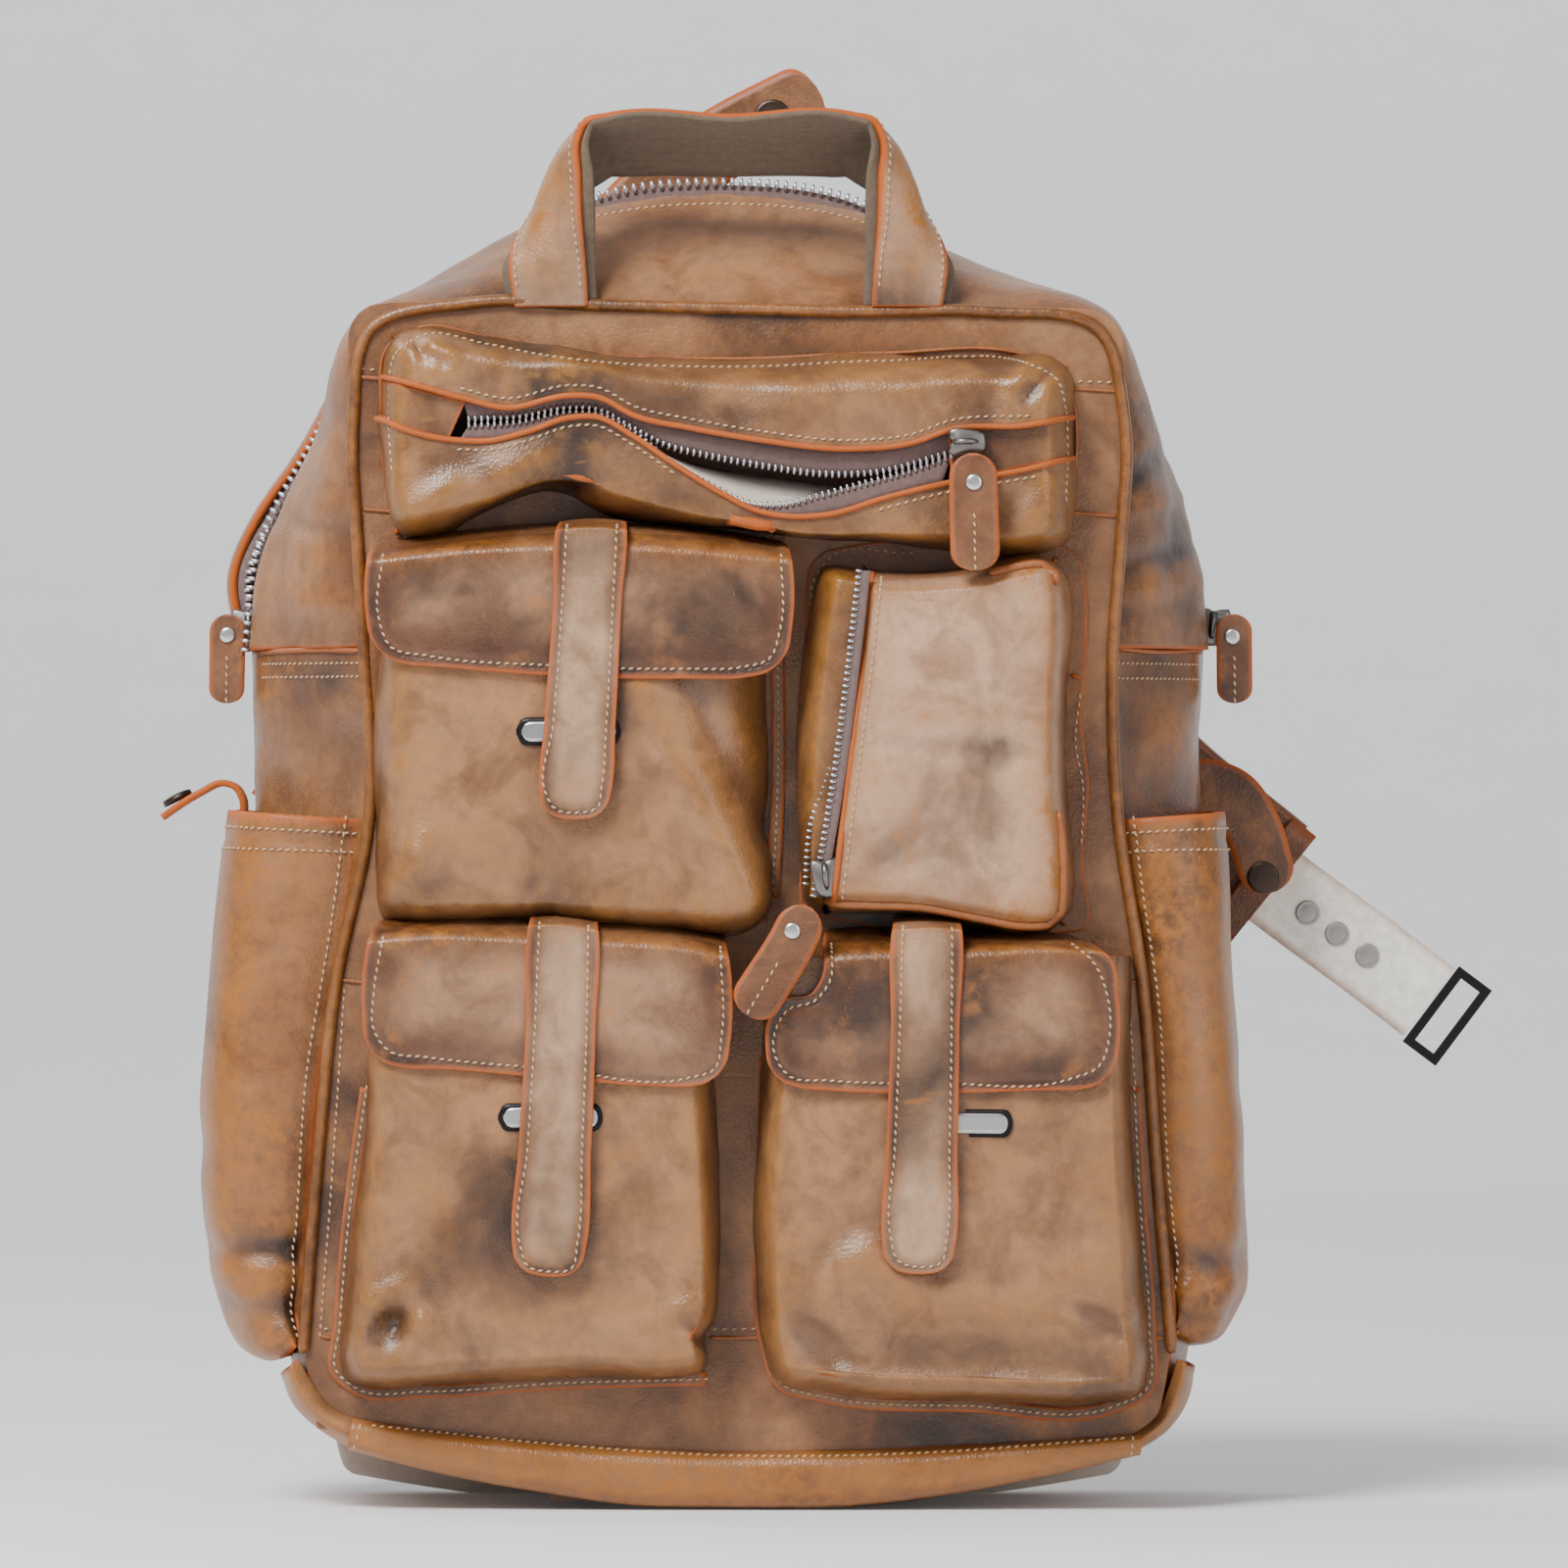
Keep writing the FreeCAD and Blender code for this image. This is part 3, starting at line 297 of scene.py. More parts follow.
def leather(name, ground=GROUND, dark=DARK, pale=PALE, ochre=OCHRE, rub_and_highlight=0.8, shift=0.0, grain=0.35):
    """One hide's finish; the shift moves the pattern, so that no two hides are alike."""
    made, shader, tree = material(name, Specular_IOR_Level=0.5, Coat_Weight=0.12, Coat_Roughness=0.3)
    hide_look = add(tree, "ShaderNodeGroup", node_tree=LEATHER)
    # The rub setting scales how pale the crown goes: partly rub wear, partly a painted highlight.
    for key, value in (("Ground", ground), ("Dark", dark), ("Pale", pale), ("Ochre", ochre), ("Cut", CUT),
                       ("Flesh", FLESH), ("Rub and highlight", rub_and_highlight), ("Shift", (shift, shift * 0.7, shift * 1.3))):
        hide_look.inputs[key].default_value = value
    bump = add(tree, "ShaderNodeBump", {"Strength": grain, "Distance": 0.0007,
                                        "Height": hide_look.outputs["Height"]})
    tree.links.new(hide_look.outputs["Color"], shader.inputs["Base Color"])
    tree.links.new(hide_look.outputs["Roughness"], shader.inputs["Roughness"])
    tree.links.new(bump.outputs[0], shader.inputs["Normal"])
    return made


def line(points, knots=None):
    """A smooth line through given points, as a function from 0 to 1 along it."""
    p = np.array(points, float)
    if knots is None:
        runs = np.sqrt(((p[1:] - p[:-1]) ** 2).reshape(len(p) - 1, -1).sum(1)) + 1e-6
        knots = np.concatenate([[0], np.cumsum(runs)]) / runs.sum()
    s = np.array(knots, float)
    slope = np.gradient(p, s, axis=0)

    def at(t):
        t = np.clip(np.asarray(t, float), 0, 1)
        k = np.clip(np.searchsorted(s, t, side="right") - 1, 0, len(s) - 2)
        shape = (-1,) + (1,) * (p.ndim - 1)
        h = (s[k + 1] - s[k]).reshape(shape)
        w = ((t - s[k]) / (s[k + 1] - s[k])).reshape(shape)
        return ((2 * w ** 3 - 3 * w ** 2 + 1) * p[k] + (w ** 3 - 2 * w ** 2 + w) * h * slope[k]
                + (3 * w ** 2 - 2 * w ** 3) * p[k + 1] + (w ** 3 - w ** 2) * h * slope[k + 1])
    return at


def unit(v):
    return v / (np.linalg.norm(v, axis=-1, keepdims=True) + 1e-9)


def facing(grid):
    """The outward direction at each point of a sheet, rows down it and columns across."""
    return unit(np.cross(np.gradient(grid, axis=0), np.gradient(grid, axis=1)))


def smooth(low, high, value):
    t = np.clip((value - low) / (high - low), 0, 1)
    return t * t * (3 - 2 * t)


def ripple(grid, size, seed=0.0):
    """Even, repeatable waves between -1 and 1, about as wide as size."""
    flat = grid.reshape(-1, 3) / size + seed
    return np.array([noise.noise(Vector(p)) for p in flat]).reshape(grid.shape[:-1])


def bends_of(grid, reach=6):
    """Where a sheet bulges and where it is hollow, each from 0 to 1."""
    out = facing(grid)
    mean = np.zeros_like(grid)
    for axis, step in ((0, reach), (0, -reach), (1, reach), (1, -reach)):
        index = np.clip(np.arange(grid.shape[axis]) + step, 0, grid.shape[axis] - 1)
        mean += np.take(grid, index, axis=axis) / 4
    height = ((grid - mean) * out).sum(-1)
    return np.clip(height / 1.6, 0, 1), np.clip(-height / 1.4, 0, 1)


def sewn(name, points, faces, finish, body, stands_for=()):
    """A finished piece on its body: points in millimetres, faces outward."""
    mesh = bpy.data.meshes.new(name)
    mesh.from_pydata((np.asarray(points, float) * MM).tolist(), [], faces)
    mesh.materials.append(finish)
    mesh.shade_smooth()
    piece = bpy.data.objects.new(name, mesh)
    scene.collection.objects.link(piece)
    if body:
        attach(piece, body)
    if stands_for:
        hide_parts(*stands_for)
    return piece


def hide(name, grid, thick, finish, body, stands_for=(), crown=0.5, raw=1.0, flesh=1.0,
         closed=False, cut_rows=1, bend_and_crease_shade=1.0):
    """A sheet of leather given by its outer face, with its thickness, cut edges and flesh side.
    crown is a number or an array that says where it is paler, partly as rub wear and partly as a painted
    highlight where the sheet stands out; raw is how bright its cut edge is. The last argument scales the
    ochre on bends and the painted shade in hollows."""
    rows, columns = grid.shape[:2]
    outer = grid.reshape(-1, 3)
    inner = (grid - facing(grid) * thick).reshape(-1, 3)
    index = np.arange(rows * columns).reshape(rows, columns)
    faces = []

    def quads(a, b, c, d):
        faces.extend(np.stack([a.ravel(), b.ravel(), c.ravel(), d.ravel()], 1).tolist())

    wide = np.concatenate([index, index[:, :1]], 1) if closed else index
    below = index.size
    quads(wide[:-1, :-1], wide[1:, :-1], wide[1:, 1:], wide[:-1, 1:])
    quads(wide[:-1, 1:] + below, wide[1:, 1:] + below, wide[1:, :-1] + below, wide[:-1, :-1] + below)
    quads(wide[0, :-1], wide[0, 1:], wide[0, 1:] + below, wide[0, :-1] + below)
    quads(wide[-1, 1:], wide[-1, :-1], wide[-1, :-1] + below, wide[-1, 1:] + below)
    if not closed:
        quads(index[1:, 0], index[:-1, 0], index[:-1, 0] + below, index[1:, 0] + below)
        quads(index[:-1, -1], index[1:, -1], index[1:, -1] + below, index[:-1, -1] + below)
    piece = sewn(name, np.concatenate([outer, inner]), faces, finish, body, stands_for)

    bulge, hollow = bends_of(grid)
    edge = np.zeros((rows, columns))
    for row in range(cut_rows):
        share = 1.0 - row / cut_rows
        ring = np.zeros((rows, columns), bool)
        ring[[row, rows - 1 - row], :] = True
        if not closed:
            ring[:, [row, columns - 1 - row]] = True
        edge[ring] = np.maximum(edge[ring], share)
    # bend is the ochre that pull-up leather takes on its ridges; the mark for hollows is painted shade in the
    # sheet's creases.
    marks = {
        "crown": (np.broadcast_to(crown, (rows, columns)), 0.0),
        "bend": (bulge * 0.8 * bend_and_crease_shade, 0.0),
        "crease_shade": (hollow * 0.9 * bend_and_crease_shade, 0.0),
        "cut": (edge * raw, None),
        "flesh": (np.zeros((rows, columns)), flesh),
    }
    for key, (top, under) in marks.items():
        low = top if under is None else np.full((rows, columns), under)
        attribute = piece.data.attributes.new(key, "FLOAT", "POINT")
        attribute.data.foreach_set("value", np.concatenate([np.ravel(top),
                                                            np.ravel(low)]).astype(np.float32))
    return piece


def along(grid, row, lift=0.3):
    """Points lying just outside one row of a sheet."""
    return grid[row] + facing(grid)[row] * lift


def loft(lines, around, across, knots=None):
    """A sheet through several lines of points, each line smooth, with the sheet smooth from line to line."""
    t = np.linspace(0, 1, around)
    return line(np.stack([line(points)(t) for points in lines]), knots)(np.linspace(0, 1, across))


# ---------------------------------------------------------------- main body
# The gussets wrap round from the front panel's seam, over the crest and back to the back panel. The upper
# one is split by the main zip; on the left its back half has fallen open and shows its suede.
FRONT_Y, CREST_Y, LIP_Y, BACK_Y = -57.4, -3, 24, 50
FRONT_SEAM = [(-135, 30), (-141, 52), (-136.5, 111), (-130, 175), (-119, 231), (-121, 286), (-123, 320),
              (-124.5, 360), (-119, 391), (-85, 400), (-42, 399), (0, 398), (42, 397), (85, 397),
              (122, 391),
              (130.5, 360), (129, 320), (126.5, 286), (128, 231), (136, 176), (141, 111), (146, 52),
              (140, 30)]
CREST = [(-143, 34), (-149, 52), (-155, 111), (-159, 176), (-161, 231), (-162, 286), (-157, 319),
         (-141, 354),
         (-128, 386), (-97, 413.5), (-44, 435), (0, 439), (39, 434), (84, 415), (123, 398), (145, 353),
         (156.5, 320), (161, 286), (159, 231), (160, 176), (158, 111), (152, 52), (147, 34)]
BACK_LIP = [(-143, 34), (-149, 52), (-155, 111), (-159, 176), (-161, 231), (-166, 286), (-171, 309),
            (-149, 350),
            (-131, 382), (-96, 414), (-44, 436), (0, 440), (39, 435), (84, 412), (117, 392), (142, 350),
            (154, 318), (159, 286), (157, 231), (157, 176), (156, 111), (151, 52), (146, 34)]
BACK_SEAM = [(-130, 20), (-138, 55), (-140, 111), (-142, 176), (-144, 231), (-146, 286), (-141, 320),
             (-125, 355),
             (-104, 382), (-75, 405), (-40, 420), (0, 426), (40, 420), (75, 405), (104, 382), (125, 355),
             (141, 320), (146, 286), (144, 231), (142, 176), (140, 111), (138, 55), (130, 20)]
SEAM_LEFT, SEAM_RIGHT = 5, 17       # the main zip ends at these two points of each line
ARCH_Z = 286
WALL = 2.4


def outward(points, out):
    """Points moved away from the middle of the bag: sideways low down, and all round the arch above."""
    p = np.array(points, float)
    way = unit(np.stack([p[:, 0], np.maximum(p[:, 1] - ARCH_Z, 0)], 1))
    return p + way * out


def halfway(first, second, share, out=0.0):
    a, b = np.array(first, float), np.array(second, float)
    return outward(a + (b - a) * share, out)


def at_depth(points, y):
    p = np.array(points, float)
    return np.stack([p[:, 0], np.full(len(p), float(y)), p[:, 1]], 1)


def crumpled(grid, size, height, seed=0.0):
    """A sheet with soft waves pushed in and out of it."""
    return grid + facing(grid) * (ripple(grid, size, seed) * height)[..., None]


def folded(grid, folds):
    """A sheet with folds pushed out of it, or into it when their height is negative.
    Each fold runs from one (x, z) point to another, and has a width and a height."""
    out = facing(grid)
    push = np.zeros(grid.shape[:2])
    flat = grid[..., [0, 2]]
    for x0, z0, x1, z1, width, height in folds:
        start, run = np.array([x0, z0], float), np.array([x1 - x0, z1 - z0], float)
        share = np.clip(((flat - start) @ run) / max(run @ run, 1e-6), 0, 1)
        off = np.linalg.norm(flat - start - share[..., None] * run, axis=-1)
        push += height * np.exp(-(off / width) ** 2) * (0.35 + 0.65 * np.sin(np.pi * (0.15 + 0.7 * share)))
    return grid + out * push[..., None]


panel_hide = leather("panel_hide", ground=tint(98, 58, 30), rub_and_highlight=0.7, shift=0.31)
gusset_hide = leather("gusset_hide", ground=tint(88, 50, 26), pale=tint(156, 112, 78), rub_and_highlight=0.75,
                      shift=1.7)

arch = slice(SEAM_LEFT, SEAM_RIGHT + 1)
front_lines = [at_depth(outward(CREST, -2), 3), at_depth(CREST, CREST_Y),
               at_depth(halfway(CREST, FRONT_SEAM, 0.45, 5), -26),
               at_depth(halfway(CREST, FRONT_SEAM, 0.88, 4), -49), at_depth(FRONT_SEAM, FRONT_Y)]
front_knots = (0, 0.13, 0.5, 0.86, 1)
upper = loft([points[arch] for points in front_lines], 300, 44, front_knots)
upper = crumpled(upper, 38, 1.6, 3.0)
upper = crumpled(upper, 11, 0.35, 7.0)
upper = folded(upper, [(146, 352, 131, 340, 4, -1.2), (152, 338, 130, 330, 3, 0.9),
                       (156, 322, 129, 312, 4, -1.3),
                       (158, 310, 128, 304, 4, 1.0), (-150, 330, -124, 322, 5, -1.2),
                       (-155, 304, -122, 300, 6, 1.4)])
# Paler along the middle of the gusset: a painted highlight, partly rub wear.
hide("upper_gusset_leather", upper, WALL, gusset_hide, "bag", ("upper_gusset",),
     crown=0.25 + 0.5 * np.sin(np.linspace(0, math.pi, 44))[:, None] * np.ones((1, 300)))

back_lines = [at_depth(BACK_SEAM, BACK_Y), at_depth(halfway(BACK_SEAM, BACK_LIP, 0.55, 3), 40),
              at_depth(BACK_LIP, LIP_Y + 2), at_depth(outward(BACK_LIP, -1.5), LIP_Y - 3)]
back_half = crumpled(loft([points[arch] for points in back_lines], 260, 26, (0, 0.5, 0.9, 1)), 34, 1.5,
                     9.0)
hide("back_gusset_leather", back_half, WALL, gusset_hide, "bag", ("back_gusset",),
     cut_rows=2)

for side, low, high in (("left", 0, SEAM_LEFT), ("right", SEAM_RIGHT, len(CREST) - 1)):
    span = slice(low, high + 1)
    side_lines = [at_depth(BACK_SEAM, BACK_Y), at_depth(halfway(BACK_SEAM, CREST, 0.6, 2), 32),
                  at_depth(outward(CREST, -1.5), 3), at_depth(halfway(CREST, FRONT_SEAM, 0.45, 3), -26),
                  at_depth(halfway(CREST, FRONT_SEAM, 0.88, 2), -49), at_depth(FRONT_SEAM, FRONT_Y)]
    low_side = loft([points[span] for points in side_lines], 130, 60, (0, 0.2, 0.46, 0.74, 0.93, 1))
    low_side = crumpled(crumpled(low_side, 30, 2.2, 4.0 + low), 12, 0.4, 2.0)
    hide(f"{side}_gusset_leather", low_side, WALL, panel_hide, "bag",
         (f"{side}_gusset",), crown=0.3)

# ---------------------------------------------------------------- seams
# Each seam is sewn with a thick waxed linen thread, in short slanting stitches. Folded edges and piping
# are round beads of leather that follow the seam.
thread, thread_shader, thread_tree = material("waxed_thread", Roughness=0.7)
thread_tone = mixed(thread_tree, spread(thread_tree, add(thread_tree, "ShaderNodeTexNoise", {
    "Scale": 180.0, "Detail": 3.0}).outputs["Fac"], 0.35, 0.65), tint(170, 132, 92), tint(206, 178, 146))
thread_tree.links.new(thread_tone, thread_shader.inputs["Base Color"])


def row_tree():
    """Geometry nodes that lay a small bead, a stitch or a zip tooth, at each even step along a line."""
    tree = bpy.data.node_groups.new("bead_row", "GeometryNodeTree")
    tree.interface.new_socket("Line", in_out="INPUT", socket_type="NodeSocketGeometry")
    for name in ("Pitch", "Length", "Width", "Depth", "Slant"):
        tree.interface.new_socket(name, in_out="INPUT", socket_type="NodeSocketFloat")
    tree.interface.new_socket("Out", in_out="INPUT", socket_type="NodeSocketVector")
    tree.interface.new_socket("Thread", in_out="INPUT", socket_type="NodeSocketMaterial")
    tree.interface.new_socket("Stitches", in_out="OUTPUT", socket_type="NodeSocketGeometry")
    given = tree.nodes.new("NodeGroupInput").outputs
    steps = add(tree, "GeometryNodeResampleCurve", {"Curve": given["Line"], "Length": given["Pitch"]},
                mode="LENGTH")
    bead = add(tree, "GeometryNodeMeshUVSphere", {"Segments": 6, "Rings": 4, "Radius": 1.0})
    size = add(tree, "ShaderNodeCombineXYZ", {0: given["Length"], 1: given["Width"], 2: given["Depth"]})
    shaped = add(tree, "GeometryNodeTransform", {"Geometry": bead.outputs["Mesh"],
                                                 "Scale": size.outputs[0]})
    turn = add(tree, "FunctionNodeAxesToRotation", {0: add(tree, "GeometryNodeInputTangent").outputs[0],
                                                    1: given["Out"]}, primary_axis="X",
                                                    secondary_axis="Z")
    slanted = add(tree, "FunctionNodeRotateRotation", {0: turn.outputs[0]}, rotation_space="LOCAL")
    lean = add(tree, "ShaderNodeCombineXYZ", {2: given["Slant"]})
    tree.links.new(lean.outputs[0], slanted.inputs[1])
    laid = add(tree, "GeometryNodeInstanceOnPoints", {"Points": steps.outputs[0],
                                                      "Instance": shaped.outputs[0],
                                                      "Rotation": slanted.outputs[0]})
    real = add(tree, "GeometryNodeRealizeInstances", {0: laid.outputs[0]})
    dressed = add(tree, "GeometryNodeSetMaterial", {"Geometry": real.outputs[0],
                                                    "Material": given["Thread"]})
    output = tree.nodes.new("NodeGroupOutput")
    tree.links.new(dressed.outputs[0], output.inputs["Stitches"])
    return tree


BEAD_ROW = row_tree()


def laid_along(name, paths, tree, values, body, blend=None, stands_for=()):
    """What a geometry nodes tree lays along lines of points, as one plain mesh on its body."""
    curve = bpy.data.curves.new(name + "_line", "CURVE")
    curve.dimensions = "3D"
    for path in paths:
        spline = curve.splines.new("POLY")
        spline.points.add(len(path) - 1)
        spline.points.foreach_set("co", np.hstack([np.asarray(path) * MM,
                                                   np.ones((len(path), 1))]).ravel())
    guide = bpy.data.objects.new(name + "_guide", curve)
    scene.collection.objects.link(guide)
    modifier = guide.modifiers.new("laid", "NODES")
    modifier.node_group = tree
    sockets = {item.name: item.identifier for item in tree.interface.items_tree if item.in_out == "INPUT"}
    for key, value in values.items():
        modifier[sockets[key]] = value
    graph = bpy.context.evaluated_depsgraph_get()
    mesh = bpy.data.meshes.new_from_object(guide.evaluated_get(graph), depsgraph=graph)
    guide.modifiers.remove(modifier)
    bpy.data.objects.remove(guide)
    mesh.name = name
    mesh.shade_smooth()
    piece = bpy.data.objects.new(name, mesh)
    scene.collection.objects.link(piece)
    if blend:
        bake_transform(piece)
    else:
        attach(piece, body)
    if stands_for:
        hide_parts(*stands_for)
    return piece


FRONT, BACK = (0.0, -1.0, 0.0), (0.0, 1.0, 0.0)
STITCH = 2.7


def stitches(name, paths, body="bag", out=FRONT, pitch=STITCH, blend=None):
    """Rows of stitching along lines of points that already lie on the leather."""
    values = {"Pitch": pitch * MM, "Length": pitch * 0.37 * MM, "Width": 0.42 * MM, "Depth": 0.42 * MM,
              "Slant": 0.28, "Out": out, "Thread": thread}
    return laid_along(name, paths, BEAD_ROW, values, body, blend=blend)


def evenly(points, step=1.2):
    """Points at even steps along the smooth line through given ones."""
    rough = line(points)(np.linspace(0, 1, 60))
    length = np.linalg.norm(np.diff(rough, axis=0), axis=1).sum()
    return line(points)(np.linspace(0, 1, max(int(length / step), 3)))


def tree_of(pieces):
    """What lines are laid down on: the outer skins of finished pieces."""
    points, faces = [], []
    for piece in pieces:
        low = len(points)
        points += [v.co.copy() for v in piece.data.vertices]
        faces += [[low + i for i in p.vertices] for p in piece.data.polygons]
    return BVHTree.FromPolygons(points, faces)


def laid_on(under, points, lift=0.25, out=FRONT, step=1.2):
    """A line of (x, z) points laid on the surface of pieces, looking from in front, or from behind."""
    side = -1 if out is FRONT else 1
    found = []
    for x, z in evenly(points, step):
        hit = under.ray_cast(Vector((x * MM, side * 0.3, z * MM)), Vector((0, -side, 0)))[0]
        if hit is not None:
            found.append((x, hit.y / MM + side * lift, z))
    return np.array(found)


def tube(paths, radius, sides=8):
    """Round beads along lines of points, with closed ends."""
    points, faces = [], []
    for path in paths:
        path = np.asarray(path, float)
        along = unit(np.gradient(path, axis=0))
        aside = unit(np.cross(along, np.tile([0.02, 1.0, 0.03], (len(path), 1))))
        over = np.cross(aside, along)
        low = len(points)
        for n, centre in enumerate(path):
            slim = radius * (0.55 if n in (0, len(path) - 1) else 1)
            for k in range(sides):
                a = 2 * math.pi * k / sides
                points.append(centre + (aside[n] * math.cos(a) + over[n] * math.sin(a)) * slim)
        for n in range(len(path) - 1):
            for k in range(sides):
                a, b = low + n * sides + k, low + n * sides + (k + 1) % sides
                faces.append((a, b, b + sides, a + sides))
        faces.append(tuple(low + k for k in reversed(range(sides))))
        faces.append(tuple(low + (len(path) - 1) * sides + k for k in range(sides)))
    return points, faces


def beads(name, paths, radius, finish, body="bag", stands_for=(), cut=1.0,
          sides=8):
    points, faces = tube(paths, radius, sides)
    piece = sewn(name, points, faces, finish, body, stands_for)
    for key, value in (("cut", cut), ("bend", 0.4)):
        attribute = piece.data.attributes.new(key, "FLOAT", "POINT")
        attribute.data.foreach_set("value", np.full(len(points), value, np.float32))
    return piece


# ---------------------------------------------------------------- front panel
# The front is pieced from four strips of leather, overlapped at folded seams, and closed along its edge
# by a piped seam. The pockets hide most of it.
def sides_of(top_left, top_right, bottom_right, bottom_left, rounds=(0, 0, 0, 0), top=(), right=(),
             bottom=(),
             left=()):
    """The four edges of a cut piece, each a smooth line: top and bottom from left to right, left and right
    from top to bottom. Corners may be rounded, and an edge may pass through points between its corners."""
    corners = [np.array(c, float) for c in (top_left, top_right, bottom_right, bottom_left)]
    between = [[np.array(p, float) for p in run] for run in (top, right, bottom[::-1], left[::-1])]
    runs = []
    for n in range(4):
        here, there = corners[n], corners[(n + 1) % 4]
        inner = between[n]
        leave = unit((inner[0] if inner else there) - here)
        reach = unit((inner[-1] if inner else here) - there)
        runs.append([here, leave, reach, inner])
    edges = []
    for n in range(4):
        here, leave, reach, inner = runs[n]
        before, after = runs[(n - 1) % 4], runs[(n + 1) % 4]
        there = after[0]
        r0, r1 = rounds[n], rounds[(n + 1) % 4]
        start = [here] if r0 == 0 else [here + r0 * 0.293 * (leave + before[2]),
                                        here + r0 * (0.617 * leave + 0.076 * before[2]),
                                        here + r0 * leave]
        end = [there] if r1 == 0 else [there + r1 * reach,
                                       there + r1 * (0.617 * reach + 0.076 * after[1]),
                                       there + r1 * 0.293 * (reach + after[1])]
        edges.append(np.array(start + inner + end))
    return {"top": line(edges[0]), "right": line(edges[1]), "bottom": line(edges[2][::-1]),
            "left": line(edges[3][::-1])}


EDGE_ROWS = (0.6, 1.3, 2.1, 3.0, 4.0, 5.2)


def steps_over(length, step):
    """Shares of a length for its rows, close together near the two ends."""
    near = [e for e in EDGE_ROWS if e < length * 0.3]
    first = near[-1] if near else 0.0
    middle = np.linspace(first, length - first, max(int((length - 2 * first) / step), 3))
    rows = np.concatenate([[0], near[:-1], middle, [length - e for e in reversed(near[:-1])], [length]])
    return np.unique(np.round(rows, 4)) / length


def rolled(shares, size, start, end, depth):
    """Where each share of a sheet lies once its two edges roll down: its place across from 0 to 1, and how
    high it stands from 0 to 1. start and end are how far in from the edge the roll reaches, 0 for none."""
    run0 = math.pi / 2 * math.hypot(start, depth) / math.sqrt(2) if start else 0.0
    run1 = math.pi / 2 * math.hypot(end, depth) / math.sqrt(2) if end else 0.0
    length = run0 + run1 + size - start - end
    along = shares * length
    place = start + along - run0
    height = np.ones_like(along)
    if start:
        t = np.clip(along / run0, 0, 1)
        inside = along < run0
        place = np.where(inside, start * (0.25 * t + 0.75 * (1 - np.cos(t * math.pi / 2))), place)
        height = np.where(inside, np.sin(t * math.pi / 2), height)
    if end:
        t = np.clip((length - along) / run1, 0, 1)
        inside = along > length - run1
        place = np.where(inside, size - end * (0.25 * t + 0.75 * (1 - np.cos(t * math.pi / 2))), place)
        height = np.where(inside, np.sin(t * math.pi / 2), height)
    return place / size, height


def cut_sheet(edges, width, height, back, depth=0.0, rolls=(0, 0, 0, 0), step=1.8, crown=0.0):
    """A sheet between four edges that stands depth in front of the plane back. rolls says how far in the
    left, right, top and bottom edges roll down to that plane, the first two as one number or as one at the
    top and one at the foot; crown adds a swell in the middle."""
    (left, left_low), (right, right_low) = [r if isinstance(r, tuple) else (r, r) for r in rolls[:2]]
    top, bottom = rolls[2:]
    columns = steps_over(width + (left + right > 0) * depth, step)
    v, rise_v = rolled(steps_over(height + (top + bottom > 0) * depth, step), height, top, bottom, depth)
    t, b = edges["top"], edges["bottom"]
    l, r = edges["left"](v), edges["right"](v)
    flat, stand = [], []
    for n, down in enumerate(v):
        u, rise_u = rolled(columns, width, left + (left_low - left) * down,
                           right + (right_low - right) * down, depth)
        across = u[:, None]
        upper_edge, lower_edge = t(u), b(u)
        row = ((1 - down) * upper_edge + down * lower_edge + (1 - across) * l[n] + across * r[n]
               - ((1 - across) * ((1 - down) * upper_edge[0] + down * lower_edge[0])
                  + across * ((1 - down) * upper_edge[-1] + down * lower_edge[-1])))
        swell = crown * np.sin(np.pi * u) * math.sin(math.pi * down)
        flat.append(np.stack([row[:, 0], back - depth * rise_u * rise_v[n] - swell, row[:, 1]], -1))
        stand.append(rise_u * rise_v[n])
    return np.array(flat), np.array(stand)


def from_edge(grid):
    """How far each point of a sheet lies from the sheet's own edge, in x and z."""
    rim = np.concatenate([grid[0], grid[-1], grid[:, 0], grid[:, -1]])[::2][:, [0, 2]]
    flat = grid[..., [0, 2]].reshape(-1, 2)
    near = np.full(len(flat), 1e9)
    for chunk in range(0, len(rim), 64):
        part = rim[chunk:chunk + 64]
        near = np.minimum(near, np.linalg.norm(flat[:, None] - part[None], axis=-1).min(1))
    return near.reshape(grid.shape[:2])


def grooved(grid, inset, depth=0.45, width=0.9):
    """A sheet drawn in along a stitched line, a little inside its edge."""
    off = from_edge(grid)
    return grid - facing(grid) * (depth * np.exp(-((off - inset) / width) ** 2))[..., None]


panel_edges = sides_of((-128, 401), (131, 399), (141, 24), (-137, 27), (14, 14, 0, 0),
                       top=FRONT_SEAM[9:14], right=FRONT_SEAM[15:22],
                       bottom=[(-96, 22), (-47, 18), (0, 16), (50, 17), (99, 20)],
                       left=FRONT_SEAM[7:0:-1])
panel_sheet, _ = cut_sheet(panel_edges, 262, 376, FRONT_Y, step=2.6)
panel_sheet = crumpled(panel_sheet, 60, 0.8, 2.0)
panel_sheet = folded(panel_sheet, [(-60, 386, 90, 388, 6, 0.8), (-120, 300, -118, 240, 4, 1.2)])
front_leather = hide("front_panel_leather", panel_sheet, WALL, panel_hide, "bag",
                     ("front_panel",), crown=0.55, raw=0.4)
piping_hide = leather("piping_hide", ground=tint(104, 62, 30), rub_and_highlight=0.5, shift=2.2)
piping_line = evenly(at_depth(outward(FRONT_SEAM[1:22], 0.6), FRONT_Y - 0.6), 1.6)
beads("panel_piping", [piping_line], 2.1, piping_hide, stands_for=("front_piping",), cut=0.0, sides=10)

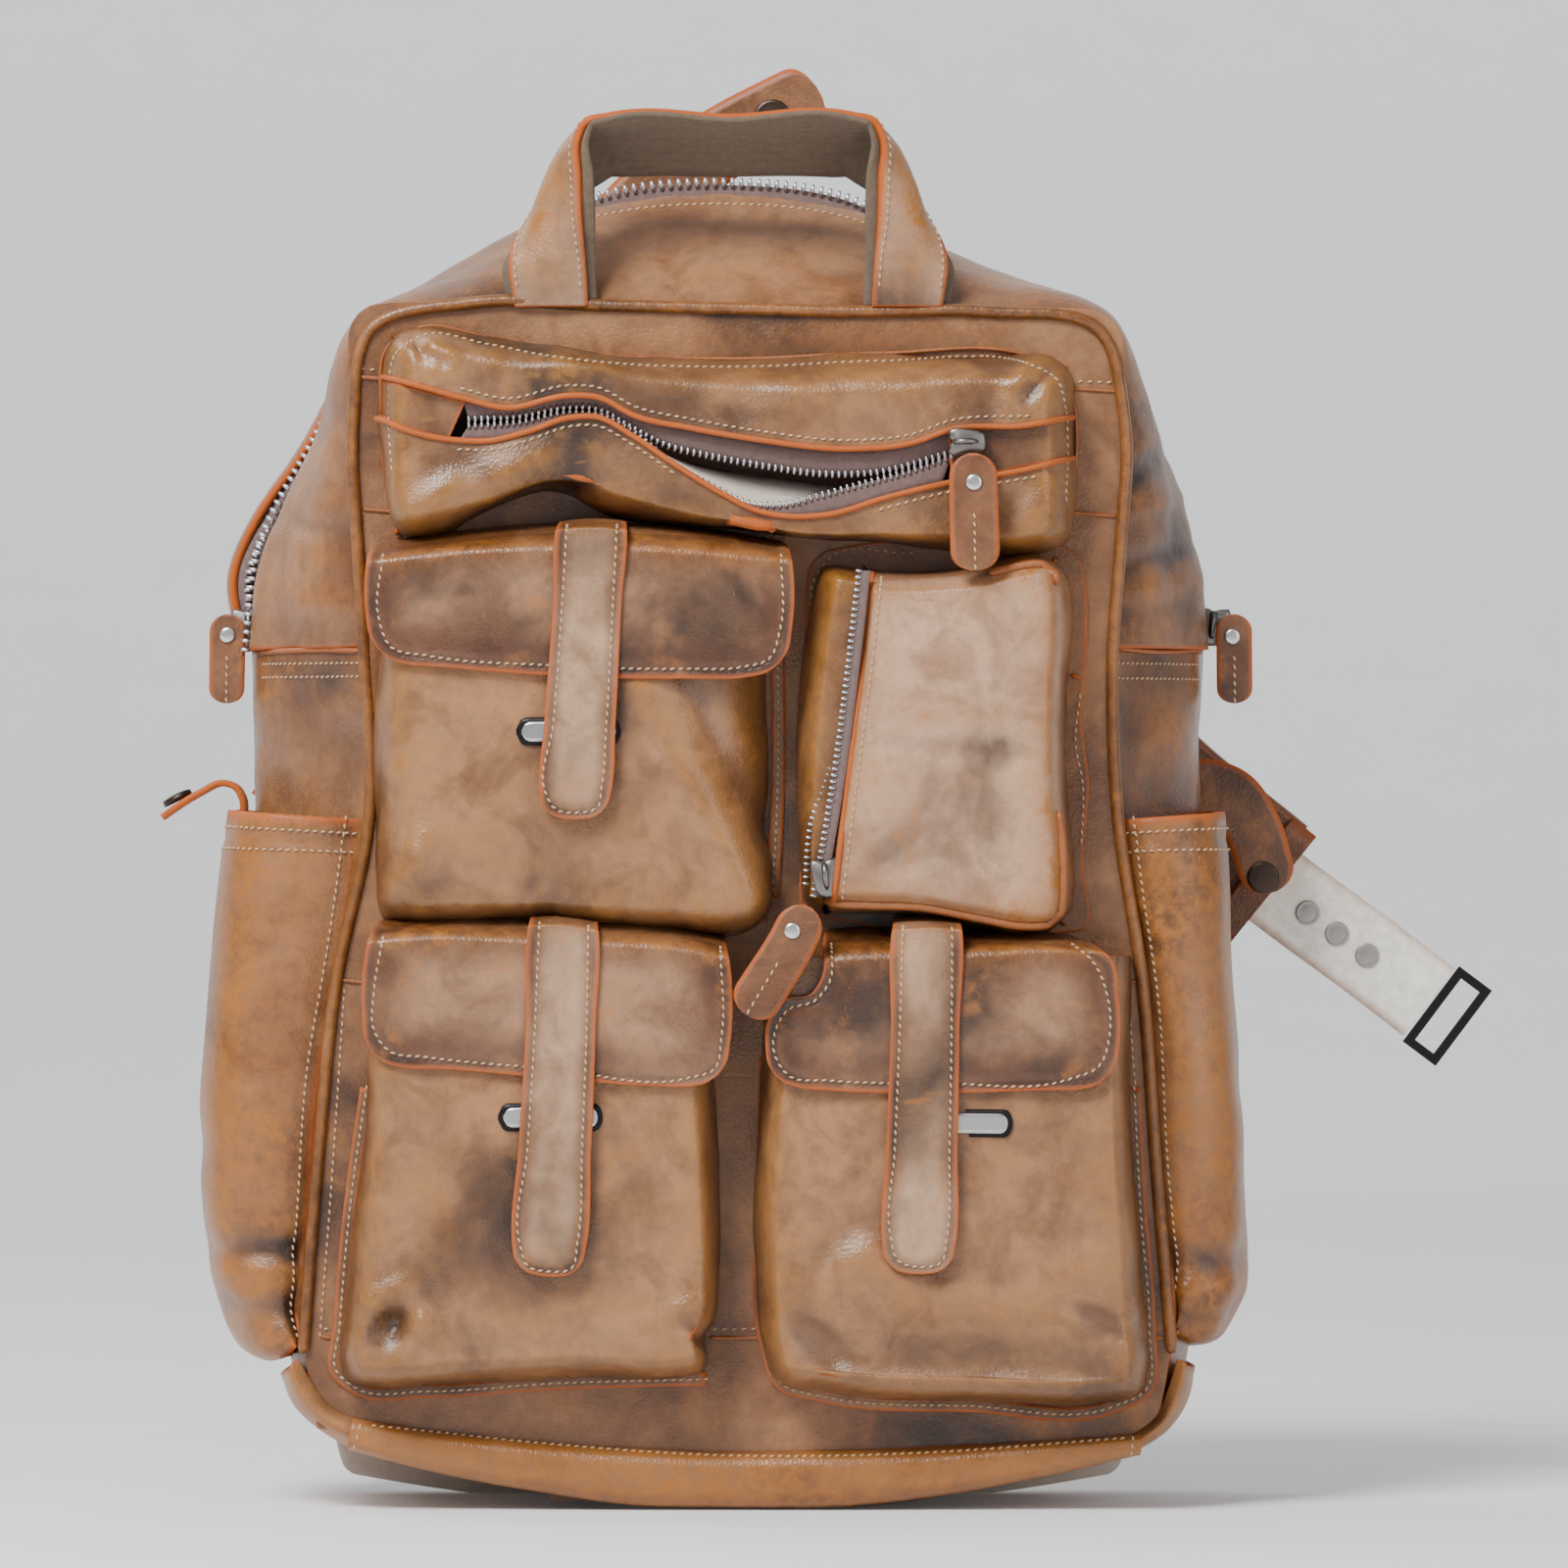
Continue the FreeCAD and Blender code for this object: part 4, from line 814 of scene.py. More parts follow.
front_under = tree_of([front_leather])
panel_folds = [[(-124, 376), (-113, 375)], [(-122, 332), (-110, 331)], [(-131, 176), (-114, 174)],
               [(113, 372), (130, 371)], [(113, 331), (129, 329.5)], [(126, 176), (136, 175)],
               [(-136, 57.5), (-125, 56)], [(-7, 57), (12, 57)], [(135, 57), (144, 57)]]
beads("panel_folds", [laid_on(front_under, p, 0.2) for p in panel_folds], 0.7, piping_hide, cut=0.3)
stitches("panel_stitches", [laid_on(front_under, p) for p in (
    [(-122, 378.5), (-112, 378)], [(113, 374.5), (129, 374)], [(-5, 60), (11, 60)],
    [(-34, 323), (15, 323)], [(-128, 172), (-132, 111), (-136, 58)],
    [(132, 172), (136.5, 111), (140, 60)],
    [(-110, 323), (-60, 322.5)], [(-134, 60), (-126, 59)])])

# ---------------------------------------------------------------- base
# The base is a broad shell that curves up at both corners. A rolled band of leather is lapped over its
# front edge, with square stitched ends.
base_hide = leather("base_hide", ground=tint(122, 78, 40), pale=tint(172, 126, 84), rub_and_highlight=0.7, shift=4.1)
BASE_TOP = [(-143, 50), (-138, 41), (-132, 34), (-122, 29.5), (-96, 25.5), (-64, 22.5), (-31, 20),
            (0, 19),
            (34, 19.5), (66, 21), (99, 22.5), (134, 25.5), (141, 31), (145, 40), (148, 50)]
BASE_LOW = [(-149, 45), (-145, 35), (-136, 26), (-125, 20), (-96, 13), (-64, 7), (-31, 2.5), (0, 0.6),
            (34, 1.2), (66, 4.5), (99, 11), (134, 19), (146, 27), (152, 37), (154, 47)]
BASE_BACK = [(-140, 50), (-138, 40), (-134, 26), (-125, 19), (-96, 11), (-64, 2.5), (-31, 0.8), (0, 0.4),
             (31, 0.8), (64, 2.5), (96, 11), (125, 19), (134, 26), (138, 40), (140, 50)]
base_lines = [at_depth(BASE_TOP, -58), at_depth(halfway(BASE_TOP, BASE_LOW, 0.55), -61.5),
              at_depth(BASE_LOW, -52), at_depth(BASE_LOW, -20), at_depth(BASE_BACK, 50)]
base_sheet = crumpled(loft(base_lines, 170, 60, (0, 0.15, 0.3, 0.6, 1)), 40, 0.5, 5.0)
base_sheet[..., 2] = np.maximum(base_sheet[..., 2], 0.2)
hide("base_leather", base_sheet, 2.0, base_hide, "bag", ("base_panel",), crown=0.4,
     raw=0.5)
band_edges = sides_of((-125, 30.5), (137, 25.5), (136, 18), (-127, 20),
                      top=[(-96, 26), (-47, 21.5), (0, 19.5), (50, 20), (99, 22.5)],
                      bottom=[(-96, 12), (-64, 6), (-31, 1.5), (0, 0.8), (34, 0.9), (66, 4), (99, 10)])
band_sheet, band_rise = cut_sheet(band_edges, 262, 16, -59, depth=5.5, rolls=(0, 0, 5, 6), step=1.5)
band_sheet = crumpled(band_sheet, 34, 0.4, 8.0)
band_sheet[..., 2] = np.maximum(band_sheet[..., 2], 0.3)
base_band = hide("base_band", band_sheet, 1.8, base_hide, "bag", crown=0.7 * band_rise,
                 raw=0.7)
band_under = tree_of([base_band])
stitches("band_stitches", [laid_on(band_under, p) for p in (
    [(-122.5, 28), (-124.5, 21)], [(133.5, 24), (133, 19)], [(-118, 28.2), (-60, 22), (0, 18.2), (60, 19),
                                                             (130, 24)])])

# ---------------------------------------------------------------- zips
# Metal teeth are clamped on the edge of a woven tape, and the tape is sewn under the leather. The teeth of
# the main zip are coarse, and those of the pockets fine.
teeth_metal, teeth_shader, teeth_tree = material("zip_metal", Metallic=1.0, Roughness=0.32)
teeth_tone = mixed(teeth_tree, add(teeth_tree, "ShaderNodeTexNoise", {"Scale": 320.0}).outputs["Fac"],
                   tint(150, 150, 152), tint(222, 222, 224))
teeth_tree.links.new(teeth_tone, teeth_shader.inputs["Base Color"])


def woven(name, warp, weft, size, strength=0.5, rough=0.85, slanted=0.0):
    """A woven band or cloth: two threads crossing, each with its own colour."""
    made, shader, tree = material(name, Sheen_Weight=0.15, Sheen_Roughness=0.6)
    place = add(tree, "ShaderNodeTexCoord").outputs["Object"]
    turned = add(tree, "ShaderNodeMapping", {"Vector": place, "Rotation": (0.0, slanted, 0.0)}).outputs[0]
    one = add(tree, "ShaderNodeTexWave", {"Vector": turned, "Scale": size, "Distortion": 0.6,
                                          "Detail": 1.0},
              bands_direction="X").outputs["Fac"]
    two = add(tree, "ShaderNodeTexWave", {"Vector": turned, "Scale": size, "Distortion": 0.6,
                                          "Detail": 1.0},
              bands_direction="Z").outputs["Fac"]
    cross = add(tree, "ShaderNodeMath", {0: one, 1: two}, operation="MULTIPLY").outputs[0]
    fuzz = add(tree, "ShaderNodeTexNoise", {"Vector": place, "Scale": 420.0,
                                            "Detail": 4.0}).outputs["Fac"]
    tone = mixed(tree, spread(tree, cross, 0.05, 0.55), warp, weft)
    dust = mixed(tree, spread(tree, fuzz, 0.35, 0.70, 0.0, 0.35), tone, weft)
    tree.links.new(dust, shader.inputs["Base Color"])
    shader.inputs["Roughness"].default_value = rough
    height = add(tree, "ShaderNodeMath", {0: cross, 1: fuzz}, operation="ADD").outputs[0]
    bump = add(tree, "ShaderNodeBump", {"Strength": strength, "Distance": 0.0006, "Height": height})
    tree.links.new(bump.outputs[0], shader.inputs["Normal"])
    return made


tape_cloth = woven("zip_tape_cloth", tint(86, 66, 62), tint(136, 108, 102), 1600.0)


def chain(name, path, body="bag", out=FRONT, pitch=2.1, stands_for=()):
    """A row of zip teeth along a line, each tooth lying across it."""
    values = {"Pitch": pitch * MM, "Length": pitch * 0.30 * MM, "Width": pitch * 0.72 * MM,
              "Depth": pitch * 0.34 * MM, "Slant": 0.0, "Out": out, "Thread": teeth_metal}
    return laid_along(name, [path], BEAD_ROW, values, body, stands_for=stands_for)


def tape(name, first, second, body="bag", stands_for=(), finish=None, columns=90,
         thick=0.8):
    """A strip of cloth between two smooth lines of 3-D points."""
    grid = loft([first, second], columns, 4)
    return hide(name, grid, thick, finish or tape_cloth, body, stands_for, crown=0.0, raw=0.0,
                flesh=0.0)


zip_span = slice(SEAM_LEFT, SEAM_RIGHT + 1)
ZIP_OUT = [1.5, 2.0, 0.5, -5, -5, 3.6, 4.2, 3.8, -5, -5.5, -5.5, -5.5,
           -4]  # how far it stands past the crest
crest_zip = np.array(CREST[zip_span])
aside = (outward(CREST[zip_span], 1.0) - crest_zip)
front_tape_low = at_depth(crest_zip + aside * (np.array(ZIP_OUT) - 6)[:, None], 0)
front_tape_high = at_depth(crest_zip + aside * (np.array(ZIP_OUT) - 0.6)[:, None], 3)
tape("main_zip_front_tape", front_tape_high, front_tape_low, stands_for=("main_zip_front",), columns=200)
chain("main_zip_front_teeth", evenly(at_depth(crest_zip + aside * np.array(ZIP_OUT)[:, None], 1.5)),
      pitch=3.0)
back_tape_low = at_depth(outward(BACK_LIP[zip_span], -7), LIP_Y - 5)
back_tape_high = at_depth(outward(BACK_LIP[zip_span], -1.5), LIP_Y + 1)
tape("main_zip_back_tape", back_tape_high, back_tape_low, stands_for=("main_zip_back",), columns=200)
chain("main_zip_back_teeth", evenly(at_depth(outward(BACK_LIP[zip_span], -8), LIP_Y - 6)), pitch=3.0)
upper_tree = tree_of([bpy.data.objects["upper_gusset_leather"]])
stitches("crest_stitches", [laid_on(upper_tree, [(-70, 423), (-44, 431.5), (0, 435.5), (39, 431),
                                                 (70, 417)])])

# ---------------------------------------------------------------- lower gusset seams
# The upper gusset is lapped over the lower ones at each end of the zip, with a folded tan edge and two rows
# of stitching under it.
gusset_under = tree_of([bpy.data.objects[f"{side}_gusset_leather"] for side in ("left", "right")])
beads("gusset_folds", [laid_on(gusset_under, p, 0.6) for p in (
    [(-158, 285), (-140, 285.5), (-123, 285)], [(128, 286), (145, 285), (158, 286)])], 0.9, piping_hide,
    cut=0.45)
stitches("gusset_stitches", [laid_on(gusset_under, p) for p in (
    [(-157, 281), (-140, 281), (-122, 281)], [(-157, 276.5), (-140, 276.5), (-122, 276.5)],
    [(129, 281), (145, 281), (157, 281)], [(129, 276), (145, 276), (157, 276)])])

# ---------------------------------------------------------------- top pocket
# A wide puffed pocket under the handle, in two leather sheets with the open zip between them. The zip
# gapes, and the cream cotton lining shows inside.
pocket_hide = leather("pocket_hide", ground=tint(80, 46, 22), ochre=tint(144, 94, 34), shift=3.3)
UPPER_LIP = [(-88, 367.5), (-74, 364.3), (-53, 368.5), (-44, 368), (-31, 361.5), (-13, 357.5),
             (10, 353.5),
             (40, 350.5), (60, 352.5), (73, 357)]
LOWER_LIP = [(-105, 357.5), (-89, 354.5), (-79, 354.3), (-66, 357.5), (-53, 362), (-44, 362.3),
             (-32, 356),
             (-19, 347), (-4, 337.5), (9, 331), (20, 329), (34, 330), (50, 335), (70, 340), (100, 345.5)]
POCKET_Y = -57.4
TOP_DEPTH = 29
upper_edges = sides_of((-114, 391), (115, 384), (114.5, 362), (-116, 375.5), (9, 14, 0, 0),
                       top=[(-100, 392.5), (-80, 389.5), (-60, 385.5), (0, 382), (50, 384), (98, 383)],
                       bottom=UPPER_LIP + [(98, 358.5)])
upper_sheet, rise = cut_sheet(upper_edges, 230, 26, POCKET_Y, TOP_DEPTH, (13, 13, 12, 0), step=1.5)
upper_sheet = crumpled(crumpled(upper_sheet, 26, 1.3, 1.0), 9, 0.3, 2.0)
upper_sheet = folded(upper_sheet, [(-104, 387, -96, 380, 3, -4), (-99, 386, -97, 377, 2.2, 2.5),
                                   (-90, 374, -97, 384, 4, 1.6),
                                   (106, 377, 96, 368, 2.4, -3.5), (99, 378, 92, 364, 4, 2),
                                   (-58, 384, -52, 370, 8, 1.5)])
upper_piece = hide("top_pocket_upper", upper_sheet, 2.0, pocket_hide, "bag",
                   ("top_pocket",),
                   crown=0.75 * rise, cut_rows=2)
lower_edges = sides_of((-117, 363), (114.5, 349.5), (114, 319), (-112, 323), (0, 0, 9, 8), top=LOWER_LIP,
                       bottom=[(-103, 322), (-80, 328.5), (-60, 334), (-34, 329), (0, 325), (18, 323.5),
                               (66, 319), (98, 316.5)])
lower_sheet, rise = cut_sheet(lower_edges, 230, 32, POCKET_Y, TOP_DEPTH, (10, 12, 0, 9), step=1.5)
lower_sheet = crumpled(crumpled(lower_sheet, 24, 1.4, 5.0), 9, 0.3, 6.0)
lower_sheet = folded(lower_sheet, [(-104, 330, -92, 340, 5, 2.5), (-88, 335, -60, 350, 8, 3.0),
                                   (-84, 325, -50, 338, 7, -4),
                                   (95, 322, 105, 338, 5, 1.5)])
lower_piece = hide("top_pocket_lower", lower_sheet, 2.0, pocket_hide, "bag",
                   crown=0.45 * rise, cut_rows=2)
end_left, rise = cut_sheet(sides_of((-115.5, 374.5), (-87, 367), (-93, 353.5), (-115.5, 361)), 28, 12,
                           POCKET_Y, TOP_DEPTH - 2, (9, 0, 0, 0), step=1.6)
hide("top_pocket_end_left", end_left, 1.6, pocket_hide, "bag", crown=0.2, cut_rows=2)
end_right, rise = cut_sheet(sides_of((72, 357), (114, 362), (114, 349), (73, 340)), 42, 15,
                            POCKET_Y, TOP_DEPTH - 2.5, (0, 10, 0, 0), step=1.6)
hide("top_pocket_end_right", end_right, 1.6, pocket_hide, "bag", crown=0.0, cut_rows=2)

TOP_FACE = POCKET_Y - TOP_DEPTH
UPPER_TEETH = [(-86, 361), (-70, 362), (-53, 365), (-44, 364.6), (-33, 358.8), (-22, 353), (-5, 348.8),
               (10, 346),
               (34, 343), (51, 344), (66, 348), (73, 350)]
LOWER_TEETH = [(-86, 359), (-70, 360), (-53, 363.4), (-44, 363), (-32, 357), (-18, 345.5), (-5, 338.4),
               (5, 333.5),
               (18, 332.8), (28, 335.5), (43, 339.6), (59, 344), (73, 349)]
tape("top_zip_tape_upper", at_depth(UPPER_LIP, TOP_FACE + 2.4), at_depth(UPPER_TEETH, TOP_FACE + 3.4),
     stands_for=("top_pocket_zip",))
tape("top_zip_tape_lower", at_depth(LOWER_TEETH, TOP_FACE + 3.8),
     at_depth(LOWER_LIP[1:-1], TOP_FACE + 2.4))
chain("top_zip_teeth_upper", evenly(at_depth(UPPER_TEETH, TOP_FACE + 2.6)))
chain("top_zip_teeth_lower", evenly(at_depth(LOWER_TEETH, TOP_FACE + 3.0)))
lining_cloth = woven("lining_cloth", tint(176, 160, 146), tint(214, 202, 188), 1300.0, strength=0.25)
lining_low = [(x, z + 1.0) for x, z in LOWER_LIP[4:-1]]
lining_high = [(-50, 357), (-36, 355), (-20, 349), (0, 344), (20, 341), (40, 339), (55, 341), (68, 344)]
tape("top_pocket_lining", at_depth(lining_high, TOP_FACE + 15), at_depth(lining_low, TOP_FACE + 4),
     finish=lining_cloth)

pocket_under = tree_of([upper_piece, lower_piece])
beads("top_pocket_lips", [along(upper_sheet, -2, 0.5)[6:-6], along(lower_sheet, 1, 0.5)[6:-6]], 1.0,
      piping_hide, cut=0.9)
top_outline = [(-113, 341), (-114.5, 365), (-112, 385), (-102, 391), (-80, 388), (-60, 384), (0, 380.6),
               (50, 382.5),
               (98, 381.5), (110, 376), (113, 364), (113, 335)]
beads("top_pocket_edge", [laid_on(front_under, [(x * 1.012, z + 1.2) for x, z in top_outline], 0.6)], 0.7,
      piping_hide, cut=0.3)
stitches("top_pocket_stitches", [laid_on(pocket_under, p) for p in (
    [(-111.5, 345), (-112.5, 365), (-110, 383), (-101, 389), (-80, 386), (-60, 382), (0, 378.6),
     (50, 380.6),
     (98, 379.6), (108, 374), (111, 364), (111, 335)],
    [(x, z + 3.6) for x, z in UPPER_LIP + [(98, 358.5)]], [(x, z - 3.4) for x, z in LOWER_LIP[1:8]],
    [(50, 331.4), (70, 336.6), (100, 342)])])

# ---------------------------------------------------------------- zip pocket on the right
# A firm cushion of leather piped round its edge, on a backing patch. Its zip runs up the left side, next to
# a narrow stitched strip, and stands open towards the foot.
ZIP_BACK_Y, ZIP_DEPTH = -59, 33
backing_edges = sides_of((26, 319), (117, 320), (119.5, 192), (23, 198), (11, 10, 4, 4),
                         right=[(118.5, 290), (116.5, 265), (119, 240), (117, 215)],
                         left=[(25, 290), (24.5, 250), (23.5, 215)])
backing_sheet, _ = cut_sheet(backing_edges, 92, 124, ZIP_BACK_Y, step=2.0)
backing = hide("zip_pocket_backing_leather", crumpled(backing_sheet, 22, 0.6, 3.0), 1.6, panel_hide,
               "bag",
               ("zip_pocket_backing",), crown=0.2, cut_rows=2)
face_edges = sides_of((45.5, 312), (110, 318), (114, 191), (31, 198), (0, 13, 15, 3),
                      top=[(60, 311.5), (80, 313), (96, 316.5)],
                      right=[(112.5, 300), (111.5, 270), (112, 240), (114.5, 215)],
                      bottom=[(45, 197.5), (60, 197), (80, 193), (96, 190.5)],
                      left=[(41, 270), (36, 235)])
face_sheet, face_rise = cut_sheet(face_edges, 76, 120, ZIP_BACK_Y, ZIP_DEPTH, (3, 10, 9, 9), step=1.5,
                                  crown=1.6)
face_sheet = crumpled(face_sheet, 45, 1.1, 7.0)
face_sheet = folded(face_sheet, [(48, 256, 92, 253, 5, -0.9), (60, 262, 100, 262, 7, 0.6)])
zip_face_hide = leather("zip_face_hide", ground=tint(104, 64, 40), pale=tint(190, 152, 122), rub_and_highlight=1.1,
                        shift=6.0)
# Paler where the cushion stands full forward: a painted highlight, partly rub wear.
zip_face = hide("zip_pocket_face", face_sheet, 2.0, zip_face_hide, "bag",
                ("zip_pocket",),
                crown=smooth(0.55, 1.0, face_rise), cut_rows=2)
side_edges = sides_of((29, 314), (44, 312), (30, 198), (24, 202), (5, 0, 0, 3))
side_sheet, rise = cut_sheet(side_edges, 14, 114, ZIP_BACK_Y, ZIP_DEPTH - 6, (8, 0, 6, 6), step=1.6)
hide("zip_pocket_side", side_sheet, 1.2, pocket_hide, "bag", crown=0.1, raw=0.0)
zip_line = [(42.5, 311), (39, 280), (34.5, 245), (29, 212), (27.5, 204)]
zip_y = ZIP_BACK_Y - ZIP_DEPTH + 1.6
tape("side_zip_tape", at_depth(zip_line, zip_y + 1.2), at_depth([(x + 4, z) for x, z in zip_line],
                                                                zip_y + 0.2),
     stands_for=("zip_pocket_zip",))
chain("side_zip_teeth", evenly(at_depth(zip_line, zip_y)), pitch=2.1)
chain("side_zip_teeth_left", evenly(at_depth([(37, 300), (35, 284), (33, 262)], zip_y + 6)), pitch=2.1)
chain("side_zip_teeth_foot", evenly(at_depth([(33, 246), (26.5, 226), (25, 208)], zip_y + 5)), pitch=2.1)
face_under = tree_of([zip_face])
beads("side_zip_edge", [laid_on(face_under, [(47.2, 311), (43.4, 275), (38.6, 238), (34, 201)], 0.3)],
      1.1, piping_hide, cut=0.9)
stitches("side_zip_stitches", [laid_on(face_under, [(50, 309), (46.2, 275), (41.4, 238), (37, 202)])])
middle_row, middle_column = face_sheet.shape[0] // 2, face_sheet.shape[1] // 2
turn_top = int(np.argmax(face_rise[:, middle_column] > 0.85))
turn_foot = face_sheet.shape[0] - 1 - int(np.argmax(face_rise[::-1, middle_column] > 0.85))
turn_right = face_sheet.shape[1] - 1 - int(np.argmax(face_rise[middle_row, ::-1] > 0.85))
outside = face_sheet + facing(face_sheet) * 0.7
beads("zip_pocket_piping", [
    np.concatenate([outside[turn_top, middle_column + 6:turn_right - 4],
                    outside[turn_top + 4:middle_row // 2, turn_right]]),
    np.concatenate([outside[middle_row + 12:turn_foot - 4, turn_right],
                    outside[turn_foot, turn_right - 4:8:-1]])],
      1.5, piping_hide, cut=0.3, sides=10)
backing_under = tree_of([backing])
stitches("backing_stitches", [laid_on(backing_under, p) for p in (
    [(27.5, 292), (28, 309), (34, 316.5), (60, 317.3)], [(26, 283), (26, 250), (25, 215)],
    [(116, 270), (114.5, 255), (117, 240), (116.5, 222)])])
beads("backing_tabs", [laid_on(backing_under, [(24.5, 283.5), (33, 283.5)], 0.4),
                       laid_on(backing_under, [(113, 277), (119, 275)], 0.4)], 0.8, piping_hide, cut=1.0)

# ---------------------------------------------------------------- flap pockets
# Three bellows pockets are sewn on with a stitched flange. Each has a flap that folds over its mouth and a
# strap that holds the flap down over a small metal plate.
POCKET_DEPTH = 31
FLAP_DEPTH, STRAP_DEPTH = 34.7, 37.1
plate_metal, plate_shader, plate_tree = material("plate_metal", Metallic=1.0, Roughness=0.28)
plate_tone = mixed(plate_tree, add(plate_tree, "ShaderNodeTexNoise",
                                   {"Scale": 240.0, "Detail": 4.0}).outputs["Fac"],
                   tint(150, 148, 144), tint(230, 230, 228))
plate_tree.links.new(plate_tone, plate_shader.inputs["Base Color"])
flap_hide = leather("flap_hide", ground=tint(80, 46, 26), pale=tint(156, 118, 88), rub_and_highlight=0.9, shift=5.5)
strap_hide = leather("strap_hide", ground=tint(104, 68, 42), pale=tint(180, 146, 116), rub_and_highlight=0.9, shift=8.2)


def flange(name, path, width=4.5):
    """The stitched edge of a pocket, flat on the front panel."""
    centre = evenly(path, 2.0)
    along = unit(np.gradient(centre, axis=0))
    aside = np.stack([-along[:, 1], along[:, 0]], 1) * width / 2
    across = [centre - aside, centre - aside * 0.5, centre, centre + aside * 0.5, centre + aside]
    grid = np.stack([at_depth(row, FRONT_Y - 1.3) for row in across])
    grid = grid[::-1] if facing(grid)[0, 0, 1] > 0 else grid
    grid = crumpled(grid, 16, 0.3, 1.0)
    piece = hide(name + "_flange", grid, 1.4, pocket_hide, "bag", crown=0.3, cut_rows=1)
    stitches(name + "_flange_stitches", [laid_on(tree_of([piece]), path)])


def flap_pocket(name, pocket, folds, flange_path, flap, flap_folds, strap, flap_seam, strap_seam, seed):
    """One flap pocket: pocket, flap and strap are each a set of edges and their width and height."""
    cover = name + "_cover"
    edges, width, height, rolls = pocket
    sheet, rise = cut_sheet(edges, width, height, POCKET_Y, POCKET_DEPTH, rolls, step=1.7, crown=1.0)
    sheet = crumpled(crumpled(sheet, 42, 1.8, seed), 13, 0.45, seed + 2)
    sheet = folded(sheet, folds)
    sheet[..., 1] = np.maximum(sheet[..., 1], POCKET_Y - POCKET_DEPTH + 0.2 - 5.0)
    # The pocket is paler where it stands full forward, a painted highlight that is partly rub wear, and
    # painted shade sits in its hollows.
    hide(name + "_pocket_leather", sheet, 1.8, pocket_hide, "bag", (name + "_pocket",),
         crown=0.85 * smooth(0.5, 1.0, rise), raw=0.3, bend_and_crease_shade=0.6)
    flange(name + "_pocket", flange_path)

    edges, width, height = flap
    sheet, rise = cut_sheet(edges, width, height, POCKET_Y, FLAP_DEPTH, (0, 0, 9, 0), step=1.6)
    sheet = folded(crumpled(sheet, 50, 0.8, seed + 4), flap_folds)
    sheet = grooved(sheet, 3.4)
    stands_for = (name + "_flap",) + (("flap_folds",) if name == "upper_left" else ())
    # The flap is paler away from its edges: a painted highlight, partly rub wear.
    piece = hide(name + "_flap_leather", sheet, 2.2, flap_hide, None, stands_for,
                 crown=0.9 * smooth(6, 22, from_edge(sheet)) * rise, cut_rows=3)
    top = max(edges["top"](np.array([0.5]))[0][1], 0)
    stitches(name + "_flap_stitches", [laid_on(tree_of([piece]), p) for p in flap_seam], body=cover)
    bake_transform(piece)

    edges, width, height = strap
    sheet, rise = cut_sheet(edges, width, height, POCKET_Y, STRAP_DEPTH, (0, 0, 5, 0), step=1.5)
    sheet = grooved(crumpled(sheet, 40, 0.5, seed + 7), 3.0)
    # The strap is paler away from its cut edges: a painted highlight, partly rub wear.
    piece = hide(name + "_strap_leather", sheet, 2.2, strap_hide, None,
                 (name + "_strap",),
                 crown=0.8 * smooth(2, 8, from_edge(sheet)), cut_rows=3)
    stitches(name + "_strap_stitches", [laid_on(tree_of([piece]), strap_seam)], body=cover)
    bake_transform(piece)


flap_pocket(
    "upper_left",
    (sides_of((-115, 317), (14, 317), (13, 195), (-116, 195), (0, 0, 8, 6), right=[(13, 270), (13, 230)],
              bottom=[(-80, 193), (-60, 192.5), (-20, 191.5), (2, 190.5)]), 130, 124,
              ((9, 16), (48, 7), 0, 10)),
    [(-30, 274, 8, 203, 6, 2.6), (-14, 276, 13, 225, 6, -3.0), (-112, 203, -100, 222, 5, 2.5),
     (-58, 196, -60, 206, 3, -0.8),
     (-35, 196, -34, 206, 3, -0.8), (-50, 205, 0, 203, 9, 1.5), (-112, 240, -108, 215, 5, -1.5)],
    [(14.5, 312), (16, 270), (15.5, 230), (14, 203)],
    (sides_of((-119, 321), (20, 322), (20.5, 276.5), (-120, 281), (5, 5, 14, 15),
              bottom=[(-99, 279.5), (-60, 276.5), (-14, 275.4)]), 140, 44),
    [(-119, 300, 20, 300, 18, 0.8)],
    (sides_of((-56.5, 328.5), (-34, 328.5), (-39.5, 229), (-63, 229.5), (1, 1, 9, 9),
              right=[(-35.5, 300), (-37.5, 260)], left=[(-58, 300), (-61, 260)]), 22.5, 100),
    [[(-114, 316), (-115.5, 296), (-111.5, 286), (-99, 283), (-60, 279.9), (-14, 278.7), (4, 279.3),
      (13, 282),
      (16.7, 292), (17, 316)]],
    [(-53.5, 326), (-55, 300), (-58, 260), (-60.5, 238), (-57, 232.4), (-50, 231.4), (-43.5, 233),
     (-42, 240),
     (-40.5, 260), (-38.3, 300), (-37, 326)], 11.0)

